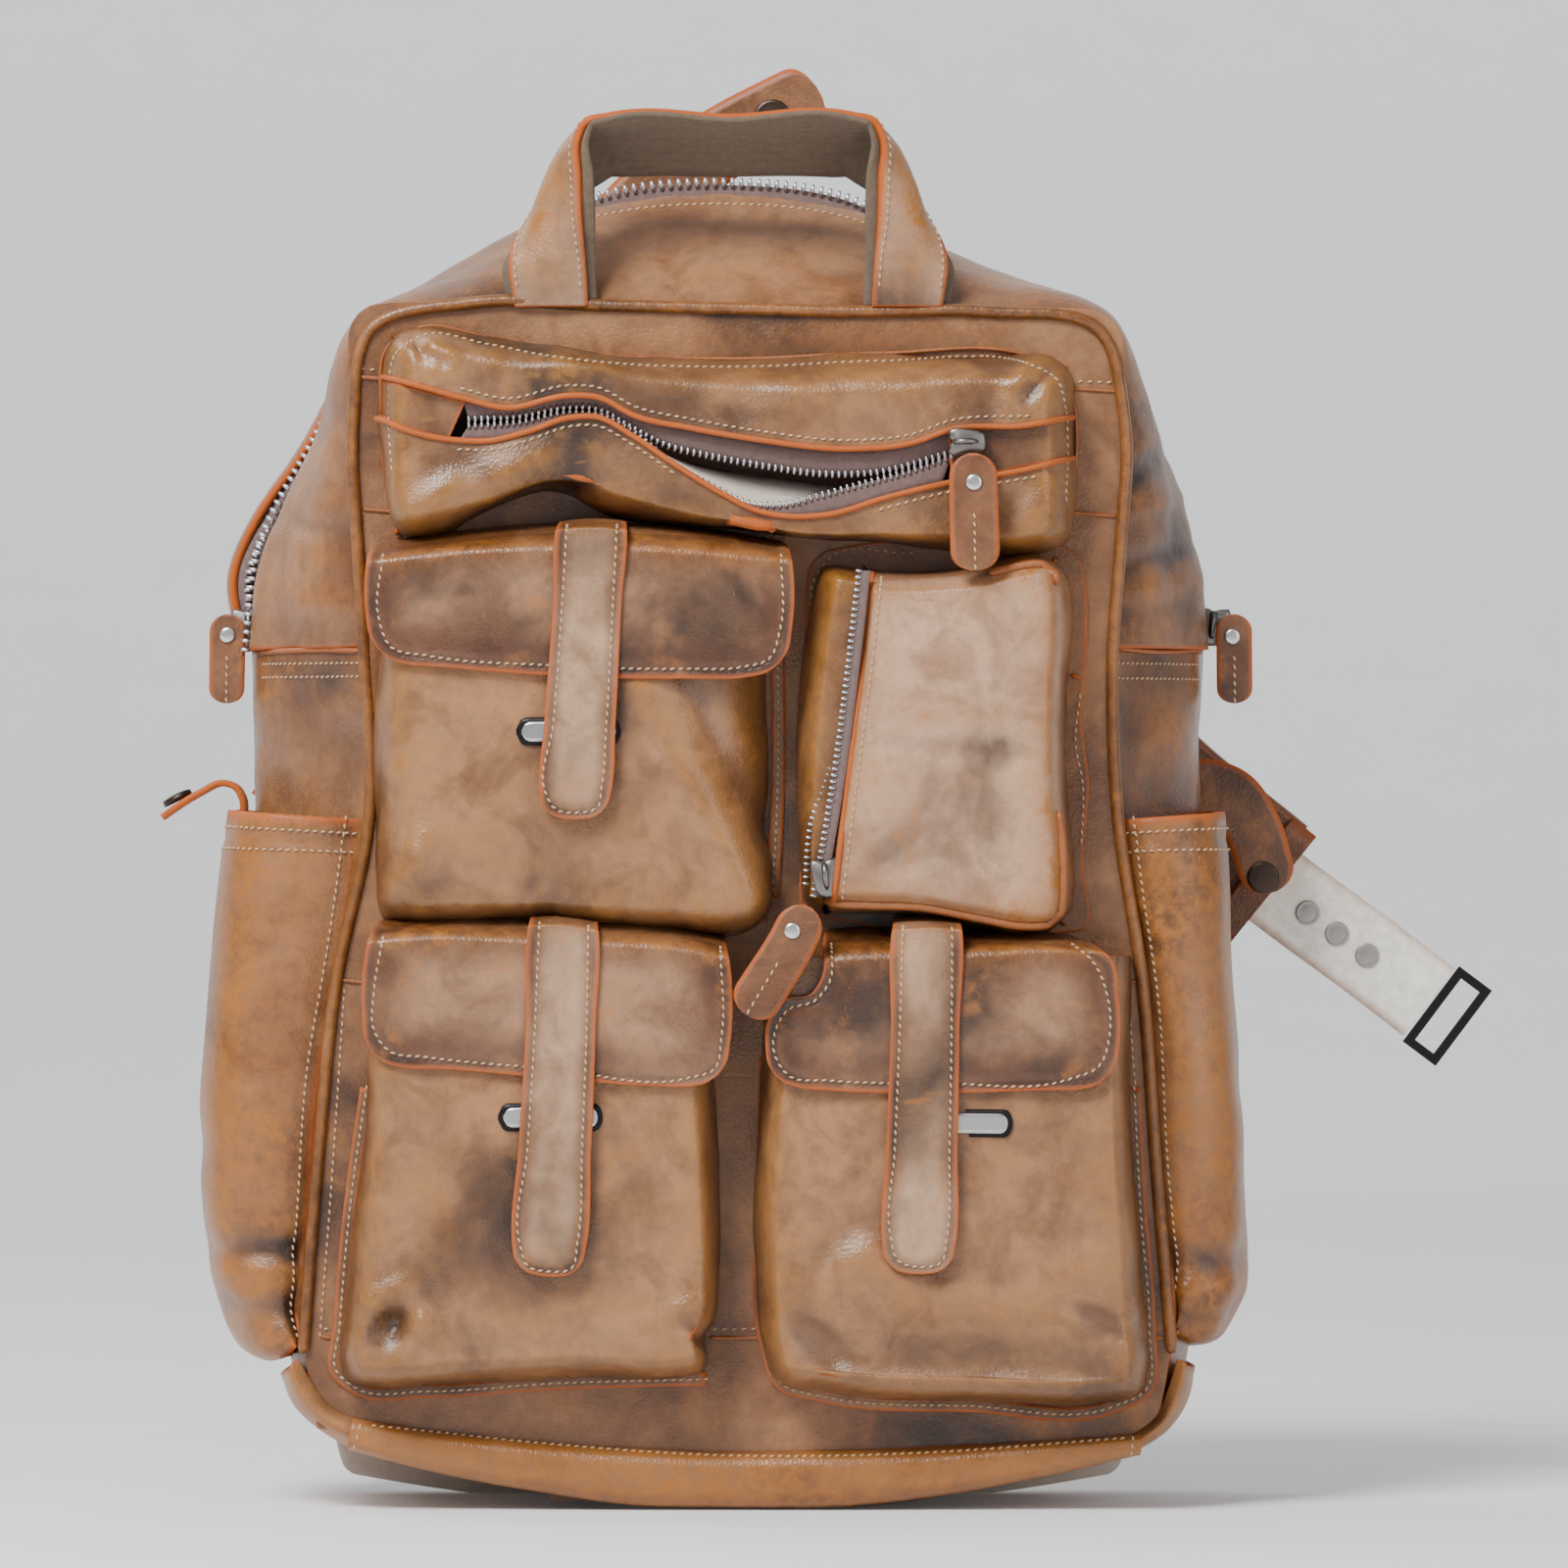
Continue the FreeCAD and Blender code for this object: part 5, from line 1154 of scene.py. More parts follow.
flap_pocket(
    "lower_left",
    (sides_of((-119, 184), (-7, 184), (-7, 44), (-130, 41), (0, 0, 6, 8),
              left=[(-122, 120), (-126, 80)], bottom=[(-90, 42.5), (-50, 44)]), 118, 142,
              ((7, 9), (10, 6), 0, 10)),
    [(-114, 60, -108, 66, 5, -7), (-104, 68, -100, 60, 4, 4.5), (-116, 70, -106, 76, 5, 2.5),
     (-14, 62, -6, 56, 4, -4),
     (-20, 66, -10, 70, 4, 2), (-110, 52, -30, 54, 5, -2), (-100, 130, -96, 80, 9, 1.4)],
    [(-120.5, 140), (-126, 100), (-129.5, 60), (-130.5, 46), (-124, 40.5), (-100, 39.5), (-60, 42),
     (-8, 43.5)],
    (sides_of((-118, 196), (-1, 191.5), (0.5, 141), (-122, 148), (4, 4, 14, 15),
              top=[(-60, 197)], bottom=[(-95, 147), (-60, 144), (-25, 141.4)]), 122, 50),
    [(-110, 172, 0, 166, 16, 0.8)],
    (sides_of((-65.5, 198.5), (-43.5, 197), (-48, 78), (-72, 80), (1, 1, 9, 9),
              right=[(-44, 160), (-45.5, 120)], left=[(-67, 160), (-69.5, 120)]), 22.5, 119),
    [[(-114, 190), (-117, 172), (-117, 160), (-112, 153), (-100, 151), (-60, 147.3), (-14, 144),
      (-5, 147), (-2.6, 158),
      (-3, 187)]],
    [(-62.5, 195), (-64, 160), (-66.5, 120), (-69, 90), (-66, 82), (-60, 80.6), (-52, 81.5), (-50, 90),
     (-48.5, 120),
     (-47, 160), (-46.4, 194)], 21.0)

flap_pocket(
    "lower_right",
    (sides_of((12, 184), (133, 184), (138, 38), (12, 42), (0, 0, 7, 9),
              right=[(133, 120), (136, 80)], bottom=[(30, 38.5), (80, 35.5), (120, 35)]), 124, 144,
              ((8, 9), (7, 9), 0, 10)),
    [(36, 52, 120, 50, 11, -4.5), (20, 66, 34, 54, 6, -3), (30, 74, 44, 84, 8, 2.8),
     (46, 84, 60, 70, 8, 2.6), (62, 68, 108, 66, 10, 2.4),
     (116, 68, 130, 60, 5, -3), (106, 78, 122, 82, 8, 2.0), (16, 60, 24, 90, 6, 2.0),
     (112, 120, 126, 90, 9, 1.4)],
    [(12, 150), (11, 100), (12, 55), (17, 42), (30, 38), (80, 34.6), (126, 34), (138, 40), (139, 60),
     (136, 100), (134, 140)],
    (sides_of((31, 192.5), (118, 191.5), (128.5, 140.5), (11, 142), (3, 10, 14, 12),
              top=[(70, 192)], right=[(125, 184), (128, 170)],
              bottom=[(34, 139.8), (70, 139), (104, 140)],
              left=[(30.5, 178), (27, 172), (17, 169.5), (12.5, 163)]), 114, 50),
    [(20, 170, 125, 168, 16, 0.8)],
    (sides_of((54, 197), (76, 197), (74, 79.5), (50, 80), (1, 1, 9, 9),
              right=[(75.6, 160), (75, 120)], left=[(53, 160), (51.5, 120)]), 22.5, 118),
    [[(33.5, 188), (33, 176), (28, 169.5), (19, 166.5), (15.5, 161), (14.4, 154), (20, 144.5),
      (32, 143.3), (70, 142.3), (112, 143.8), (121.5, 148), (125, 158),
      (124.5, 170), (119, 183), (113, 188)]],
    [(57, 194), (56, 160), (54.3, 120), (53, 92), (55.5, 84), (62, 82), (69.5, 83.5), (71.5, 92),
     (72.3, 120), (73, 160),
     (73.2, 193)], 33.0)

# ---------------------------------------------------------------- side pockets
# An open pocket hangs on each side of the bag, bellied out at the front and drawn in at the foot, with a
# hemmed mouth held by two rows of stitching.
def side_pocket(name, side, inner, outer, folds_at, seed):
    inner, outer = np.array(inner, float), np.array(outer, float)
    ends = line(inner)(np.linspace(0, 1, 24))
    belly = line(outer)(np.linspace(0, 1, 24))
    back = ends + (belly - ends) * 0.42
    lines = [at_depth(ends, -53), at_depth(ends + (belly - ends) * 0.30, -57),
             at_depth(ends + (belly - ends) * 0.82, -51),
             at_depth(belly, -34), at_depth(belly * [0.995, 1], -8), at_depth(belly * [0.985, 1], 16),
             at_depth(back, 33), at_depth(back * [0.99, 1], 36)]
    grid = loft(lines if side < 0 else lines[::-1], 110, 74).transpose(1, 0, 2)[:, ::-1]
    normal = facing(grid)
    low = smooth(120, 45, grid[..., 2:3])
    puckers = ripple(grid * [1, 1, 0.5], 17, seed)[..., None] * low * 1.6
    grid = grid + normal * (ripple(grid, 46, seed)[..., None] * 2.0 + puckers)
    grid = grid + normal * sum((-d * np.exp(-((grid[..., 2] - z) ** 2) / w ** 2 - ((grid[...,
    1] - y) ** 2) / 400))[..., None]
                               for z, y, w, d in folds_at)
    hem = smooth(0, 1, 1 - np.abs(np.arange(110) - 5) / 2.2)[:, None, None]
    grid = grid - normal * hem * 0.5
    # Paler round the belly than at the ends: a painted highlight, partly rub wear.
    rub_and_highlight = np.broadcast_to(0.55 + 0.45 * np.cos(np.linspace(-2.0, 1.6, 74))[None], (110, 74))
    hide(name + "_leather", grid, 2.0, gusset_hide, "bag", (name,), crown=rub_and_highlight * 0.9,
         cut_rows=2)
    out = (-1.0, 0.0, 0.0) if side < 0 else (1.0, 0.0, 0.0)
    for n, row in enumerate((3, 7)):
        stitches(f"{name}_hem_stitches_{n}", [along(grid, row)],
                 out=out if n else (side * 0.7, -0.7, 0.0))
    edge = grid[:, -4 if side < 0 else 3] + facing(grid)[:, -4 if side < 0 else 3] * 0.3
    stitches(name + "_edge_stitches", [edge])
    rim = grid[:, -1 if side < 0 else 0] + [0, -0.6, 0]
    beads(name + "_edge", [rim], 1.0, piping_hide, cut=0.6)


side_pocket("left_side_pocket", -1,
            [(-121.5, 229), (-130, 172.5), (-135, 143.5), (-139, 94.5), (-143, 55.5)],
            [(-166.5, 232), (-172, 189), (-176.5, 143.5), (-177, 111), (-175, 81.5), (-168, 60),
             (-157, 49), (-146, 51)],
            [(67, -48, 7, 2.6), (120, -30, 9, 1.5), (86, -52, 5, 2.0)], 1.5)
side_pocket("right_side_pocket", 1,
            [(128.5, 229), (136.5, 176), (141.5, 111), (144.5, 59)],
            [(165, 231.5), (168, 176), (170.5, 127), (172, 94.5), (173, 78.5), (169, 62), (159, 52.5),
             (147, 55.5)],
            [(82, -50, 7, 2.4), (64, -44, 6, 2.5), (140, -30, 10, 1.2)], 7.5)

# ---------------------------------------------------------------- leather straps
# Strips of leather with two cut edges: the tabs over the side pockets, the closing tab at the top, the
# zip pulls and the shoulder strap adjusters.
def strip(path, half, y, blunt=0.0, narrow=1.0, round_start=False, columns=60, rows=9):
    """A strip in the plane y, seen from in front, with its end rounded over the share blunt of its length."""
    share = 1 - (1 - np.linspace(0, 1, columns)) ** 1.6
    centre = line(path)(share)
    tangent = unit(np.gradient(centre, axis=0))
    aside = np.stack([-tangent[:, 1], tangent[:, 0]], 1)
    width = half * (1 + (narrow - 1) * share)
    if blunt:
        width = width * np.sqrt(np.clip(1 - np.clip((share - 1 + blunt) / blunt, 0, 0.985) ** 2.6, 0.02,
                                        1))
    if round_start:
        width = width * np.sqrt(np.clip(1 - np.clip((blunt - share) / blunt, 0, 0.985) ** 2, 0.02, 1))
    spread_over = np.linspace(1, -1, rows)[:, None, None]
    flat = centre[None] + aside[None] * width[None, :, None] * spread_over
    return np.stack([flat[..., 0], np.full(flat.shape[:2], float(y)), flat[..., 1]], -1)


def turned_back(grid, plane):
    """The same sheet facing backwards, mirrored in the plane y."""
    return (grid * [1, -1, 1] + [0, 2 * plane, 0])[:, ::-1]


def dome(name, centre, radius, height, out, finish, body, stands_for=(), rim=0.0):
    """A turned metal or horn button: a low dome standing out from centre, with a raised rim if it has one."""
    out = unit(np.array(out, float))
    aside = unit(np.cross(out, [0.31, 0.2, 0.93]))
    over = np.cross(out, aside)
    profile = [(1.0, 0.0), (1.0, 0.35), (0.95, 0.6), (0.82, 0.85 - rim), (0.6, 0.95 - rim),
               (0.3, 1.0 - rim)]
    turns = 28
    points = [centre + (aside * math.cos(a) + over * math.sin(a)) * radius * r + out * height * h
              for r, h in profile for a in np.linspace(0, 2 * math.pi, turns, endpoint=False)]
    faces = [(n * turns + k, n * turns + (k + 1) % turns, (n + 1) * turns + (k + 1) % turns,
              (n + 1) * turns + k)
             for n in range(len(profile) - 1) for k in range(turns)]
    faces.append(tuple(reversed(range(turns))))
    faces.append(tuple((len(profile) - 1) * turns + k for k in range(turns)))
    return sewn(name, points, faces, finish, body, stands_for)


def metal(name, dark, bright, rough, scale=300.0):
    """Bare or plated metal, unevenly worn."""
    made, shader, tree = material(name, Metallic=1.0)
    worn = add(tree, "ShaderNodeTexNoise", {"Scale": scale, "Detail": 5.0}).outputs["Fac"]
    tree.links.new(mixed(tree, spread(tree, worn, 0.35, 0.65), dark, bright), shader.inputs["Base Color"])
    tree.links.new(spread(tree, worn, 0.3, 0.7, rough + 0.12, rough), shader.inputs["Roughness"])
    return made


rivet_metal = metal("rivet_metal", tint(176, 174, 170), tint(240, 240, 238), 0.24)
slider_metal = metal("slider_metal", tint(92, 88, 84), tint(150, 146, 142), 0.30)
black_metal = metal("black_metal", tint(22, 22, 24), tint(58, 56, 56), 0.36)
snap_metal = metal("snap_metal", tint(36, 30, 28), tint(92, 78, 68), 0.34)
tab_hide = leather("tab_hide", ground=tint(84, 46, 24), pale=tint(130, 86, 54), ochre=tint(150, 92, 36),
                   shift=9.1)

curl = [(-162.5, 228), (-162.8, 236), (-165.5, 240.5), (-171, 242.2), (-178.5, 239), (-185, 235),
        (-191.5, 230.5)]
curl_lines = [[(x, y, z) for x, z in curl] for y in (-17, -12, -2, 3)]
curl_grid = crumpled(loft(curl_lines, 70, 10), 12, 0.25, 4.0)
taper = smooth(1.0, 0.86, np.linspace(0, 1, 70))[None, :, None]
curl_grid = np.concatenate([curl_grid[..., :1], (curl_grid[..., 1:2] + 7) * (0.62 + 0.38 * taper) - 7,
                            curl_grid[..., 2:]], -1)
curl_piece = hide("left_side_strap_leather", curl_grid, 2.2, tab_hide, None,
                  ("left_side_strap",),
                  crown=0.5, cut_rows=1)
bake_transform(curl_piece)
dome("left_side_snap_button", np.array([-185.5, -7, 235.2]), 5.2, 3.4, (-0.45, 0, 0.9), snap_metal,
     "left_side_tab",
     ("left_side_snap",), rim=0.25)
drape = [(152.5, 238), (160, 239.5), (169, 237), (177, 226), (181, 214), (184, 204)]
drape_grid = crumpled(strip(drape, 10, 35.4, blunt=0.2, narrow=0.95), 14, 0.35, 5.0)
drape_piece = hide("right_side_strap_leather", drape_grid, 2.2, tab_hide, None,
                   ("right_side_strap",), crown=0.6, cut_rows=1)
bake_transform(drape_piece)
dome("right_side_snap_button", np.array([180.6, 35.3, 209]), 5.4, 1.9, (0, -1, 0), snap_metal,
     "right_side_tab",
     ("right_side_snap",), rim=0.25)

# ---------------------------------------------------------------- handle
# A leather band folded round a strip of woven webbing. It stands on two feet, turns over at each corner
# and runs flat across the top, and both of its edges are stitched.
webbing_cloth = woven("webbing_cloth", tint(84, 66, 44), tint(140, 116, 88), 900.0, strength=0.8)
HANDLE_EDGE = [(-47, -60, 399), (-48, -62, 415), (-49.5, -65, 428), (-50.5, -66, 442), (-51.5, -66, 454),
               (-48.5, -66, 461), (-40, -66, 463.4), (0, -66, 463)]
HANDLE_MIDDLE = [(-59.5, -60.5, 399), (-61, -62, 415), (-63, -60, 428), (-61.5, -57, 442),
                 (-56, -54, 453),
                 (-49.5, -52, 458), (-38, -52, 459), (0, -52, 458.4)]
HANDLE_BACK = [(-71.5, -60, 399), (-73.5, -58, 415), (-68, -49, 428), (-55, -43, 440), (-46, -40, 446),
               (-42, -38.6, 448.4), (-34, -38, 449), (0, -38, 449)]


def whole(half, lean=0.0):
    return half + [(-x + lean, y, z) for x, y, z in half[-2::-1]]


handle_lines = [whole(HANDLE_BACK, -1), whole(HANDLE_MIDDLE, -0.5), whole(HANDLE_EDGE)]
handle_grid = crumpled(loft(handle_lines, 240, 13), 30, 0.5, 8.0)
handle_at = ("bag", "handle", (0, -0.06, 0.402), (0, -0.06, 0.414))
leather_piece = hide("handle_band", handle_grid, 2.6, strap_hide, None,
                     ("handle_leather",),
                     crown=0.7, cut_rows=1, flesh=0.5)
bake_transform(leather_piece)
for n, row in enumerate((1, -2)):
    stitches(f"handle_stitches_{n}", [along(handle_grid, row)[8:-8]], blend=handle_at)
webbing_grid = np.concatenate([handle_grid[:1] * 2.4 - handle_grid[1:2] * 1.4, handle_grid,
                               handle_grid[-1:] * 2.4 - handle_grid[-2:-1] * 1.4])
webbing_grid = webbing_grid - facing(webbing_grid) * 2.7
webbing_piece = hide("handle_webbing_band", webbing_grid, 1.6, webbing_cloth, None,
                     ("handle_webbing",),
                     crown=0.0, raw=0.0)
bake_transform(webbing_piece)

# ---------------------------------------------------------------- closing tab and yoke
# A sewn yoke covers the roots of the shoulder straps at the back. A long tab with a press stud is sewn
# under it and lies over the top of the bag.
tab_path = [(-62, 392), (-50, 412), (-36, 432), (-10, 455), (30, 477)]
tab_grid = crumpled(strip(tab_path, 13, 55.0, blunt=0.07, narrow=0.95), 20, 0.35, 6.0)
tab_piece = hide("top_tab_leather", tab_grid, 2.2, tab_hide, None, ("top_tab",),
                 crown=0.65,
                 cut_rows=1)
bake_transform(tab_piece)
dome("top_tab_stud", np.array([14, 54.6, 468]), 6.4, 2.0, (0, -1, 0), snap_metal, "closing_tab",
     ("top_tab_snap",), rim=0.3)
yoke_sheet, rise = cut_sheet(sides_of((-62, 404), (62, 404), (60, 372), (-60, 372), (10, 10, 5, 5)), 124,
                             32,
                             -52.4, 4.6, (4, 4, 4, 4), step=2.0)
yoke_grid = turned_back(yoke_sheet, 0)
yoke = hide("strap_yoke_leather", yoke_grid, 2.0, tab_hide, "bag", ("strap_yoke",),
            crown=0.6 * rise)
yoke_under = tree_of([yoke])
stitches("yoke_stitches", [laid_on(yoke_under, [(-56, 378), (-56, 398), (0, 399.5), (56, 398), (56, 378)],
                                   out=BACK),
                           laid_on(yoke_under, [(-56, 376.5), (0, 376), (56, 376.5)], out=BACK)],
                           out=BACK)

# ---------------------------------------------------------------- sliders, pulls and rivets
# Each zip has a cast slider with a bridge, and a leather pull riveted to it.
def slider(name, centre, turn, size, body, stands_for, finish=slider_metal):
    """A slider seen from in front: a shield-shaped plate, a second plate under it, and a bridge."""
    shield = [(-0.5, 0.32), (-0.42, 0.5), (-0.12, 0.46), (0, 0.38), (0.12, 0.46), (0.42, 0.5),
              (0.5, 0.32),
              (0.4, -0.3), (0.28, -0.5), (0, -0.53), (-0.28, -0.5), (-0.4, -0.3)]
    width, height, depth = size
    cosine, sine = math.cos(turn), math.sin(turn)
    count = len(shield)
    points, faces = [], []

    def place(u, v, w):
        x, z = u * width, v * height
        return (centre[0] + x * cosine - z * sine, centre[1] - w, centre[2] + x * sine + z * cosine)

    for low, high in ((0.0, depth * 0.24), (depth * 0.5, depth * 0.78)):
        start = len(points)
        rings = [(0.84, low), (1.0, low + 0.15 * depth * 0.3), (1.0, high - 0.15 * depth * 0.3),
                 (0.84, high)]
        points += [place(u * share, v * share, w) for share, w in rings for u, v in shield]
        faces += [(start + r * count + (k + 1) % count, start + r * count + k,
                   start + (r + 1) * count + k,
                   start + (r + 1) * count + (k + 1) % count) for r in range(3) for k in range(count)]
        faces.append(tuple(start + k for k in range(count)))
        faces.append(tuple(start + 3 * count + k for k in reversed(range(count))))
    loop, loop_faces = tube([[place(0, v, w * depth) for v, w in ((0.36, 0.6), (0.34, 0.92), (0.12, 1.0),
                                                                  (-0.16, 0.98), (-0.32, 0.7))],
                             [place(0, 0.1, depth * w) for w in (0.2, 0.6)]], width * 0.11, 8)
    faces += [tuple(len(points) + i for i in face) for face in loop_faces]
    points += [tuple(p) for p in loop]
    return sewn(name, points, faces, finish, body, (stands_for,))


slider("top_slider", (78, -84.6, 353.5), math.pi / 2, (9, 12, 10), "top_zip_slider", "top_pocket_slider")
slider("side_slider", (31.6, -84.6, 210), 0.12, (9.5, 12.5, 10), "side_zip_slider", "zip_pocket_slider")
slider("left_main_slider", (-162.5, 16.5, 294), 0.1, (12, 12.5, 10), "left_zip_slider",
       "main_slider_left")
slider("right_main_slider", (162.5, 16.5, 294), -0.1, (12, 12.5, 10), "right_zip_slider",
       "main_slider_right")


def pull(name, path, half, y, body, stands_for, rivet=None, rivet_node=None, narrow=1.0):
    grid = crumpled(strip(path, half, y, blunt=0.2, narrow=narrow, round_start=True), 9, 0.2, path[0][0])
    piece = hide(name + "_leather", grid, 2.2, tab_hide, body, (stands_for,), crown=0.6,
                 cut_rows=1)
    stitches(name + "_stitches", [laid_on(tree_of([piece]), [
        (path[-2][0] * 0.75 + path[0][0] * 0.25, path[-2][1] * 0.75 + path[0][1] * 0.25),
        (path[-1][0] * 0.9 + path[-2][0] * 0.1, path[-1][1] * 0.9 + path[-2][1] * 0.1)], step=0.8)],
        body=body)
    if rivet:
        dome(name + "_rivet_head", np.array([rivet[0], y - 0.1, rivet[1]]), 2.7, 1.0, (0, -1, 0),
             rivet_metal, body,
             (rivet_node,) if rivet_node else ())


pull("top_pull", [(80, 349.5), (80.2, 336), (80.6, 322), (80.8, 311)], 7.8, -97.3, "top_zip_pull",
     "top_pocket_pull",
     (80.3, 340), "top_pocket_pull_rivet", narrow=1.05)
pull("side_pull", [(26, 200.5), (20, 188), (12, 175), (5.5, 165)], 7.6, -97.5, "side_zip_pull",
     "zip_pocket_pull",
     (20.6, 192.6), "zip_pocket_pull_rivet", narrow=1.1)
pull("left_main_pull", [(-169.6, 298), (-169.7, 288), (-169.8, 278), (-170, 268)], 6, 3.1,
     "left_zip_pull",
     "main_pull_left", (-169.6, 291))
pull("right_main_pull", [(169.6, 298), (169.6, 288), (169.7, 278), (169.8, 268)], 6, 3.1,
     "right_zip_pull",
     "main_pull_right", (168.9, 290.5), "main_pull_right_rivet")

# ---------------------------------------------------------------- back panel and pads
# The back is one leather panel with three breathing pads of spacer mesh sewn on, two above and one below.
mesh_cloth = woven("spacer_mesh", tint(70, 52, 36), tint(150, 118, 88), 520.0, strength=0.9)
rim_line = line(BACK_SEAM[::-1])(np.linspace(0, 1, 170))
rim_line = np.concatenate([rim_line, np.linspace([-128, 12], [128, 12], 46)[1:-1]])
back_rings = [at_depth(np.array([0, 210]) + (rim_line - [0, 210]) * share, 52.4)
              for share in (1.0, 0.96, 0.9, 0.8, 0.65, 0.5, 0.35, 0.2, 0.05)]
back_grid = np.array(back_rings) + [0, -0.4, 0]
hide("back_panel_leather", back_grid, 2.4, panel_hide, "bag", ("back_panel",), crown=0.5,
     raw=0.4,
     flesh=0.6, closed=True)
PADS = [("back_pad_low", (-100, 196), (100, 90)), ("back_pad_left", (-94, 350), (-6, 210)),
        ("back_pad_right", (6, 350), (94, 210))]
for pad_name, (left, top), (right, foot) in PADS:
    outline = sides_of((left, top), (right, top), (right, foot), (left, foot), (16, 16, 16, 16))
    sheet, rise = cut_sheet(outline, right - left, top - foot, -52.2, 5.2, (6, 6, 6, 6), step=2.4,
                            crown=2.6)
    pad = hide(pad_name, turned_back(sheet, 0), 1.4, mesh_cloth, "bag",
               ("back_pads",) if pad_name == "back_pad_low" else (), crown=0.0, raw=0.0, flesh=0.0)
    inset = 5
    seam = [(left + inset, top - 14), (left + inset, foot + 14), (left + 14, foot + inset),
            (right - 14, foot + inset),
            (right - inset, foot + 14), (right - inset, top - 14), (right - 14, top - inset),
            (left + 14, top - inset)]
    stitches(pad_name + "_stitches", [laid_on(tree_of([pad]), [seam[n], seam[n + 1]],
                                              out=BACK) for n in (0, 2, 4, 6)],
             out=BACK, pitch=3.2)

# ---------------------------------------------------------------- shoulder straps
# Each strap is a padded band of spacer mesh with a leather end, where an adjuster strip with three snap
# sockets runs on to a loop. One strap hangs straight and the other swings out past the side of the bag.
socket_metal = metal("socket_metal", tint(120, 116, 110), tint(190, 186, 180), 0.35)
cream_hide = leather("cream_hide", ground=tint(238, 234, 220), dark=tint(214, 206, 188),
                     pale=tint(248, 246, 238),
                     ochre=tint(200, 186, 164), rub_and_highlight=0.4, grain=0.2)


def back_strip(path, half, y, swell=0.0, **shape):
    """A strip seen from behind, whose back face stands at y."""
    grid = strip(path, half, -y, **shape)
    bulge = swell * (1 - np.linspace(-1, 1, grid.shape[0]) ** 2)[:, None, None]
    return turned_back(grid - bulge * [0, 1, 0], 0)


def shoulder_strap(side, path, end_band, body, seed):
    name = f"{side}_shoulder_strap"
    grid = back_strip(path, 23, 63.4, swell=2.4, columns=120, rows=15)
    grid = grid + facing(grid) * ripple(grid, 55, seed)[..., None] * 0.9
    pad = hide(name + "_pad", grid, 5.2, mesh_cloth, body, (name,), crown=0.0, raw=0.0, flesh=0.0)
    for n, row in enumerate((0, -1)):
        edge = grid[row] - facing(grid)[row] * 2.6
        beads(f"{name}_binding_{n}", [edge], 2.6, tab_hide, body=body, cut=0.1)
    for n, row in enumerate((2, -3)):
        stitches(f"{name}_stitches_{n}", [along(grid, row)[4:-4]], body=body, out=BACK, pitch=3.2)
    band = back_strip(end_band, 24.2, 66.0, columns=24, rows=9)
    hide(name + "_end", band, 9.2, tab_hide, body, crown=0.6, raw=0.5, flesh=0.0)


RIGHT_STRAP = [(42, 396), (66, 350), (99, 292), (140, 241), (181, 207)]
LEFT_STRAP = [(-42, 396), (-66, 350), (-99, 292), (-126, 252), (-141, 229)]
shoulder_strap("right", RIGHT_STRAP, [(176.5, 210.5), (184.5, 204)], "right_strap", 2.0)
shoulder_strap("left", LEFT_STRAP, [(-133, 240), (-144, 224)], "left_strap", 3.0)


def adjuster(side, path, sockets, body):
    name = f"{side}_adjuster"
    grid = crumpled(strip(path, 14.5, 61.9, columns=70), 18, 0.3, 7.0)
    hide(name + "_strip", grid, 2.2, cream_hide, body, (name,), crown=0.6, raw=0.5)
    for n, (x, z) in enumerate(sockets):
        dome(f"{name}_socket_{n}", np.array([x, 61.8, z]), 4.2, 1.5, (0, -1, 0), socket_metal, body,
             rim=0.4)


adjuster("right", [(176, 213), (196.5, 197.6), (217, 182.6), (238.4, 166.2)],
         [(197, 196.8), (207, 189.6), (217.3, 182.2)],
         "right_strap")
adjuster("left", [(-150, 226), (-157, 190), (-156, 150), (-147, 100), (-135, 69)],
         [(-157, 190), (-156.5, 170), (-154, 145)],
         "left_strap")

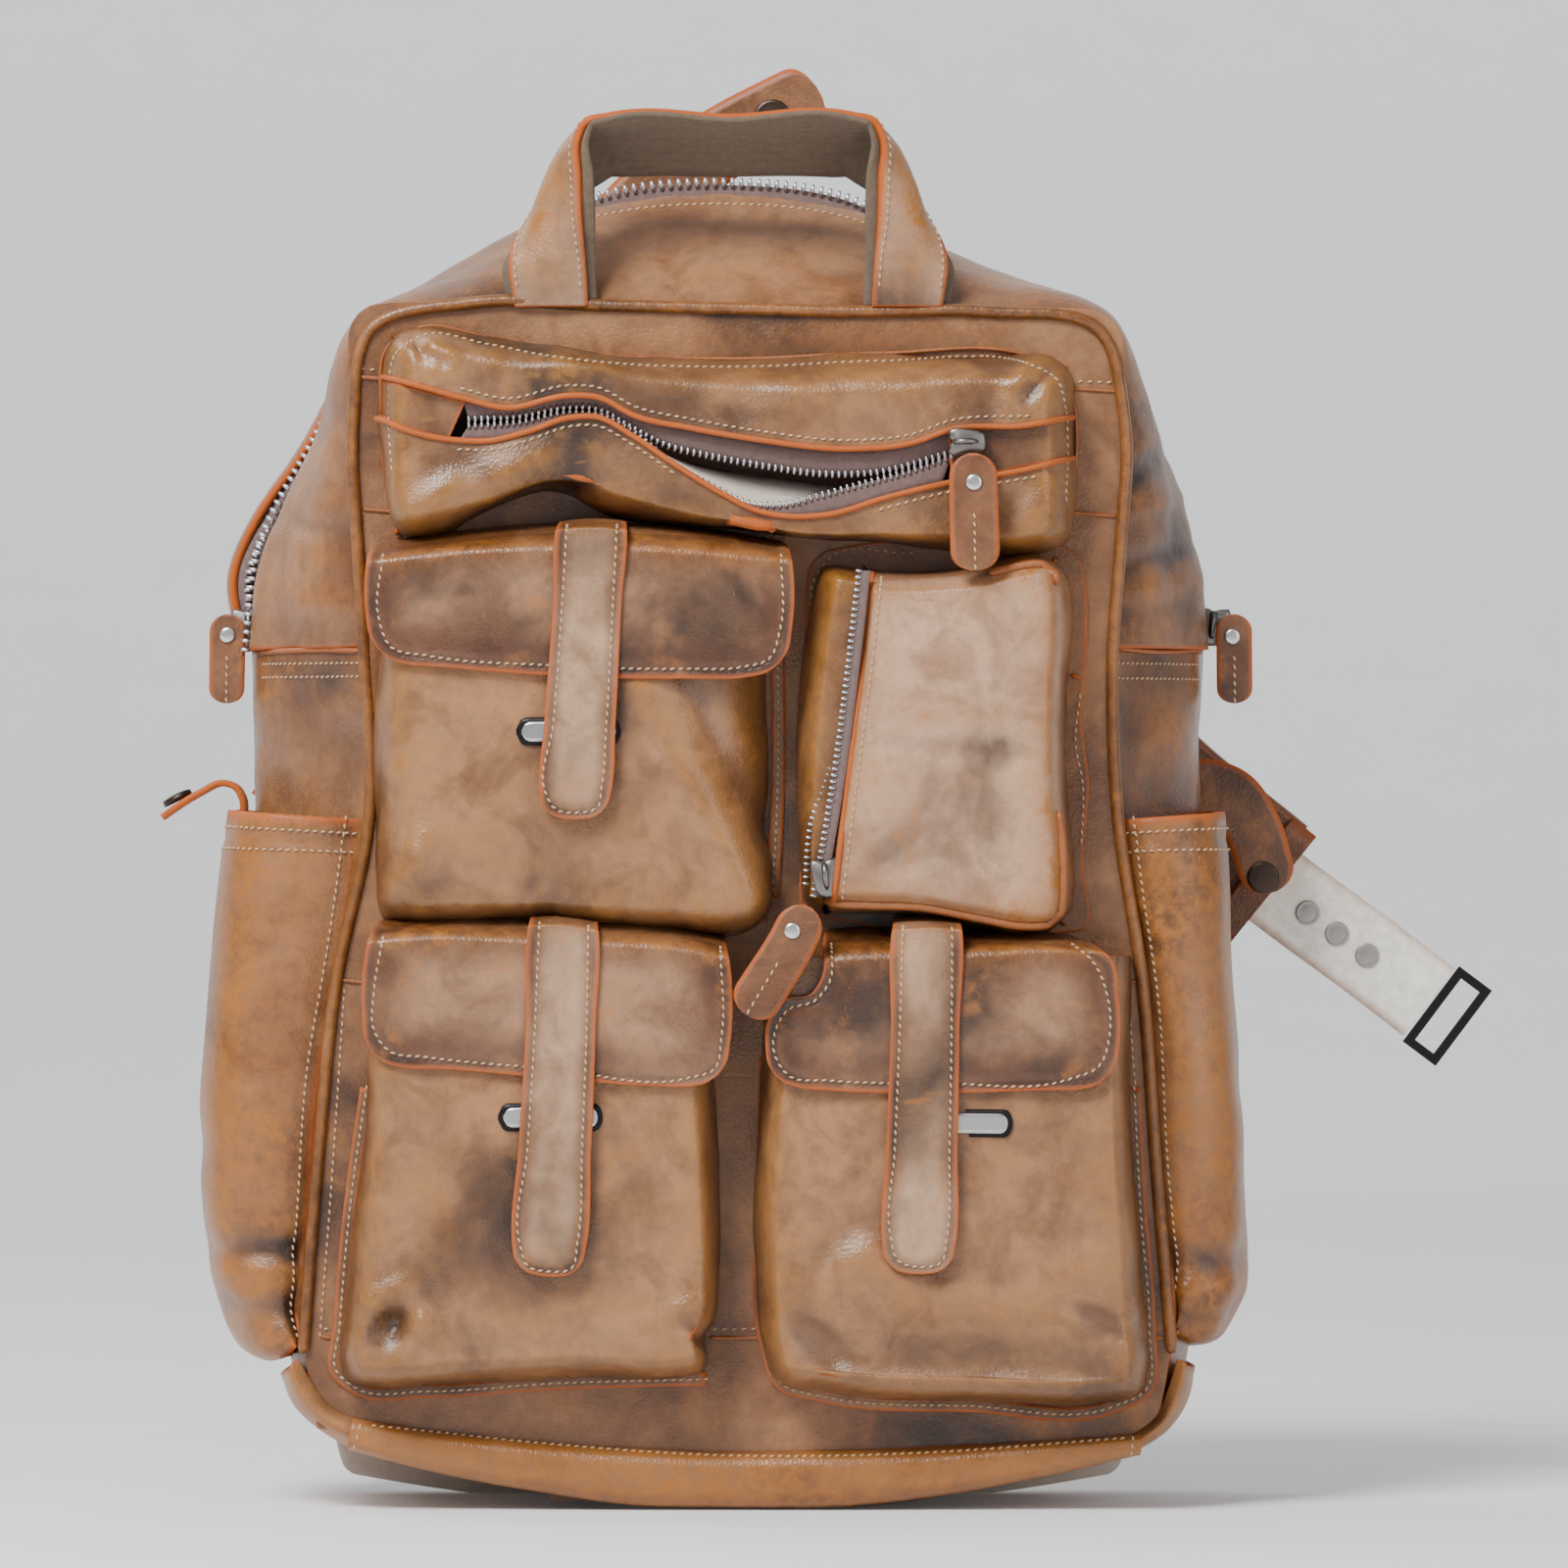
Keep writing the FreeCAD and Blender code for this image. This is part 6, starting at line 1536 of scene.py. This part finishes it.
# ---------------------------------------------------------------- hardware and hidden parts
# The loops, rings and plates are plain metal. The divider is a padded cotton board inside the bag, and a
# stiff board lies on its floor.
def plate(name, x, z, stands_for=()):
    """A closure plate: a rounded metal bar on a darker oval seat."""
    for part, half, wide, y, metal_of in (("seat", 4.6, 17.2, -89.9, black_metal),
                                          ("bar", 3.3, 15.5, -91.0, plate_metal)):
        grid = strip([(x - wide, z), (x, z + 0.2), (x + wide, z)], half, y, blunt=0.10, round_start=True,
                     columns=40, rows=7)
        hide(f"{name}_{part}", grid, 1.2, metal_of, "bag",
             stands_for if part == "bar" else (), crown=0.0,
             raw=0.0, flesh=0.0)


plate("upper_plate", -53, 258, ("closure_plates",))
plate("left_plate", -59, 131)
plate("right_plate", 76, 129)


def finish_node(node_name, finish):
    nodes[node_name].data.materials.clear()
    nodes[node_name].data.materials.append(finish)


finish_node("left_strap_loop", black_metal)
finish_node("right_strap_loop", black_metal)
finish_node("strap_rings", black_metal)
board, board_shader, board_tree = material("board", Roughness=0.8)
board_grain = add(board_tree, "ShaderNodeTexNoise", {"Scale": 60.0, "Detail": 6.0}).outputs["Fac"]
board_tree.links.new(mixed(board_tree, board_grain, tint(70, 54, 40), tint(120, 98, 76)),
                     board_shader.inputs["Base Color"])
finish_node("base_board", board)
for side in (-1, 1):
    x = side * 128
    ring_path = [(x, 62), (x + side * 0.3, 50), (x, 39)]
    grid = turned_back(strip(ring_path, 5.5, -56.5, columns=16), 0)
    hide(f"ring_tab_{'left' if side < 0 else 'right'}", grid, 3.4, tab_hide, "bag",
         ("ring_tabs",) if side < 0 else (), crown=0.5, cut_rows=1)
divider_outline = sides_of((-146, 298), (146, 298), (132, 6), (-132, 6), (22, 22, 6, 6),
                           right=[(144, 231), (142, 176), (140, 111), (138, 55)],
                           left=[(-144, 231), (-142, 176), (-140, 111), (-138, 55)])
divider_sheet, rise = cut_sheet(divider_outline, 292, 292, 36, 2.6, (8, 8, 8, 8), step=4.0, crown=0.8)
divider = hide("divider_pad", divider_sheet, 3.0, lining_cloth, "bag", ("laptop_divider",),
               crown=0.0, raw=0.0,
               flesh=0.0)

low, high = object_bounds()
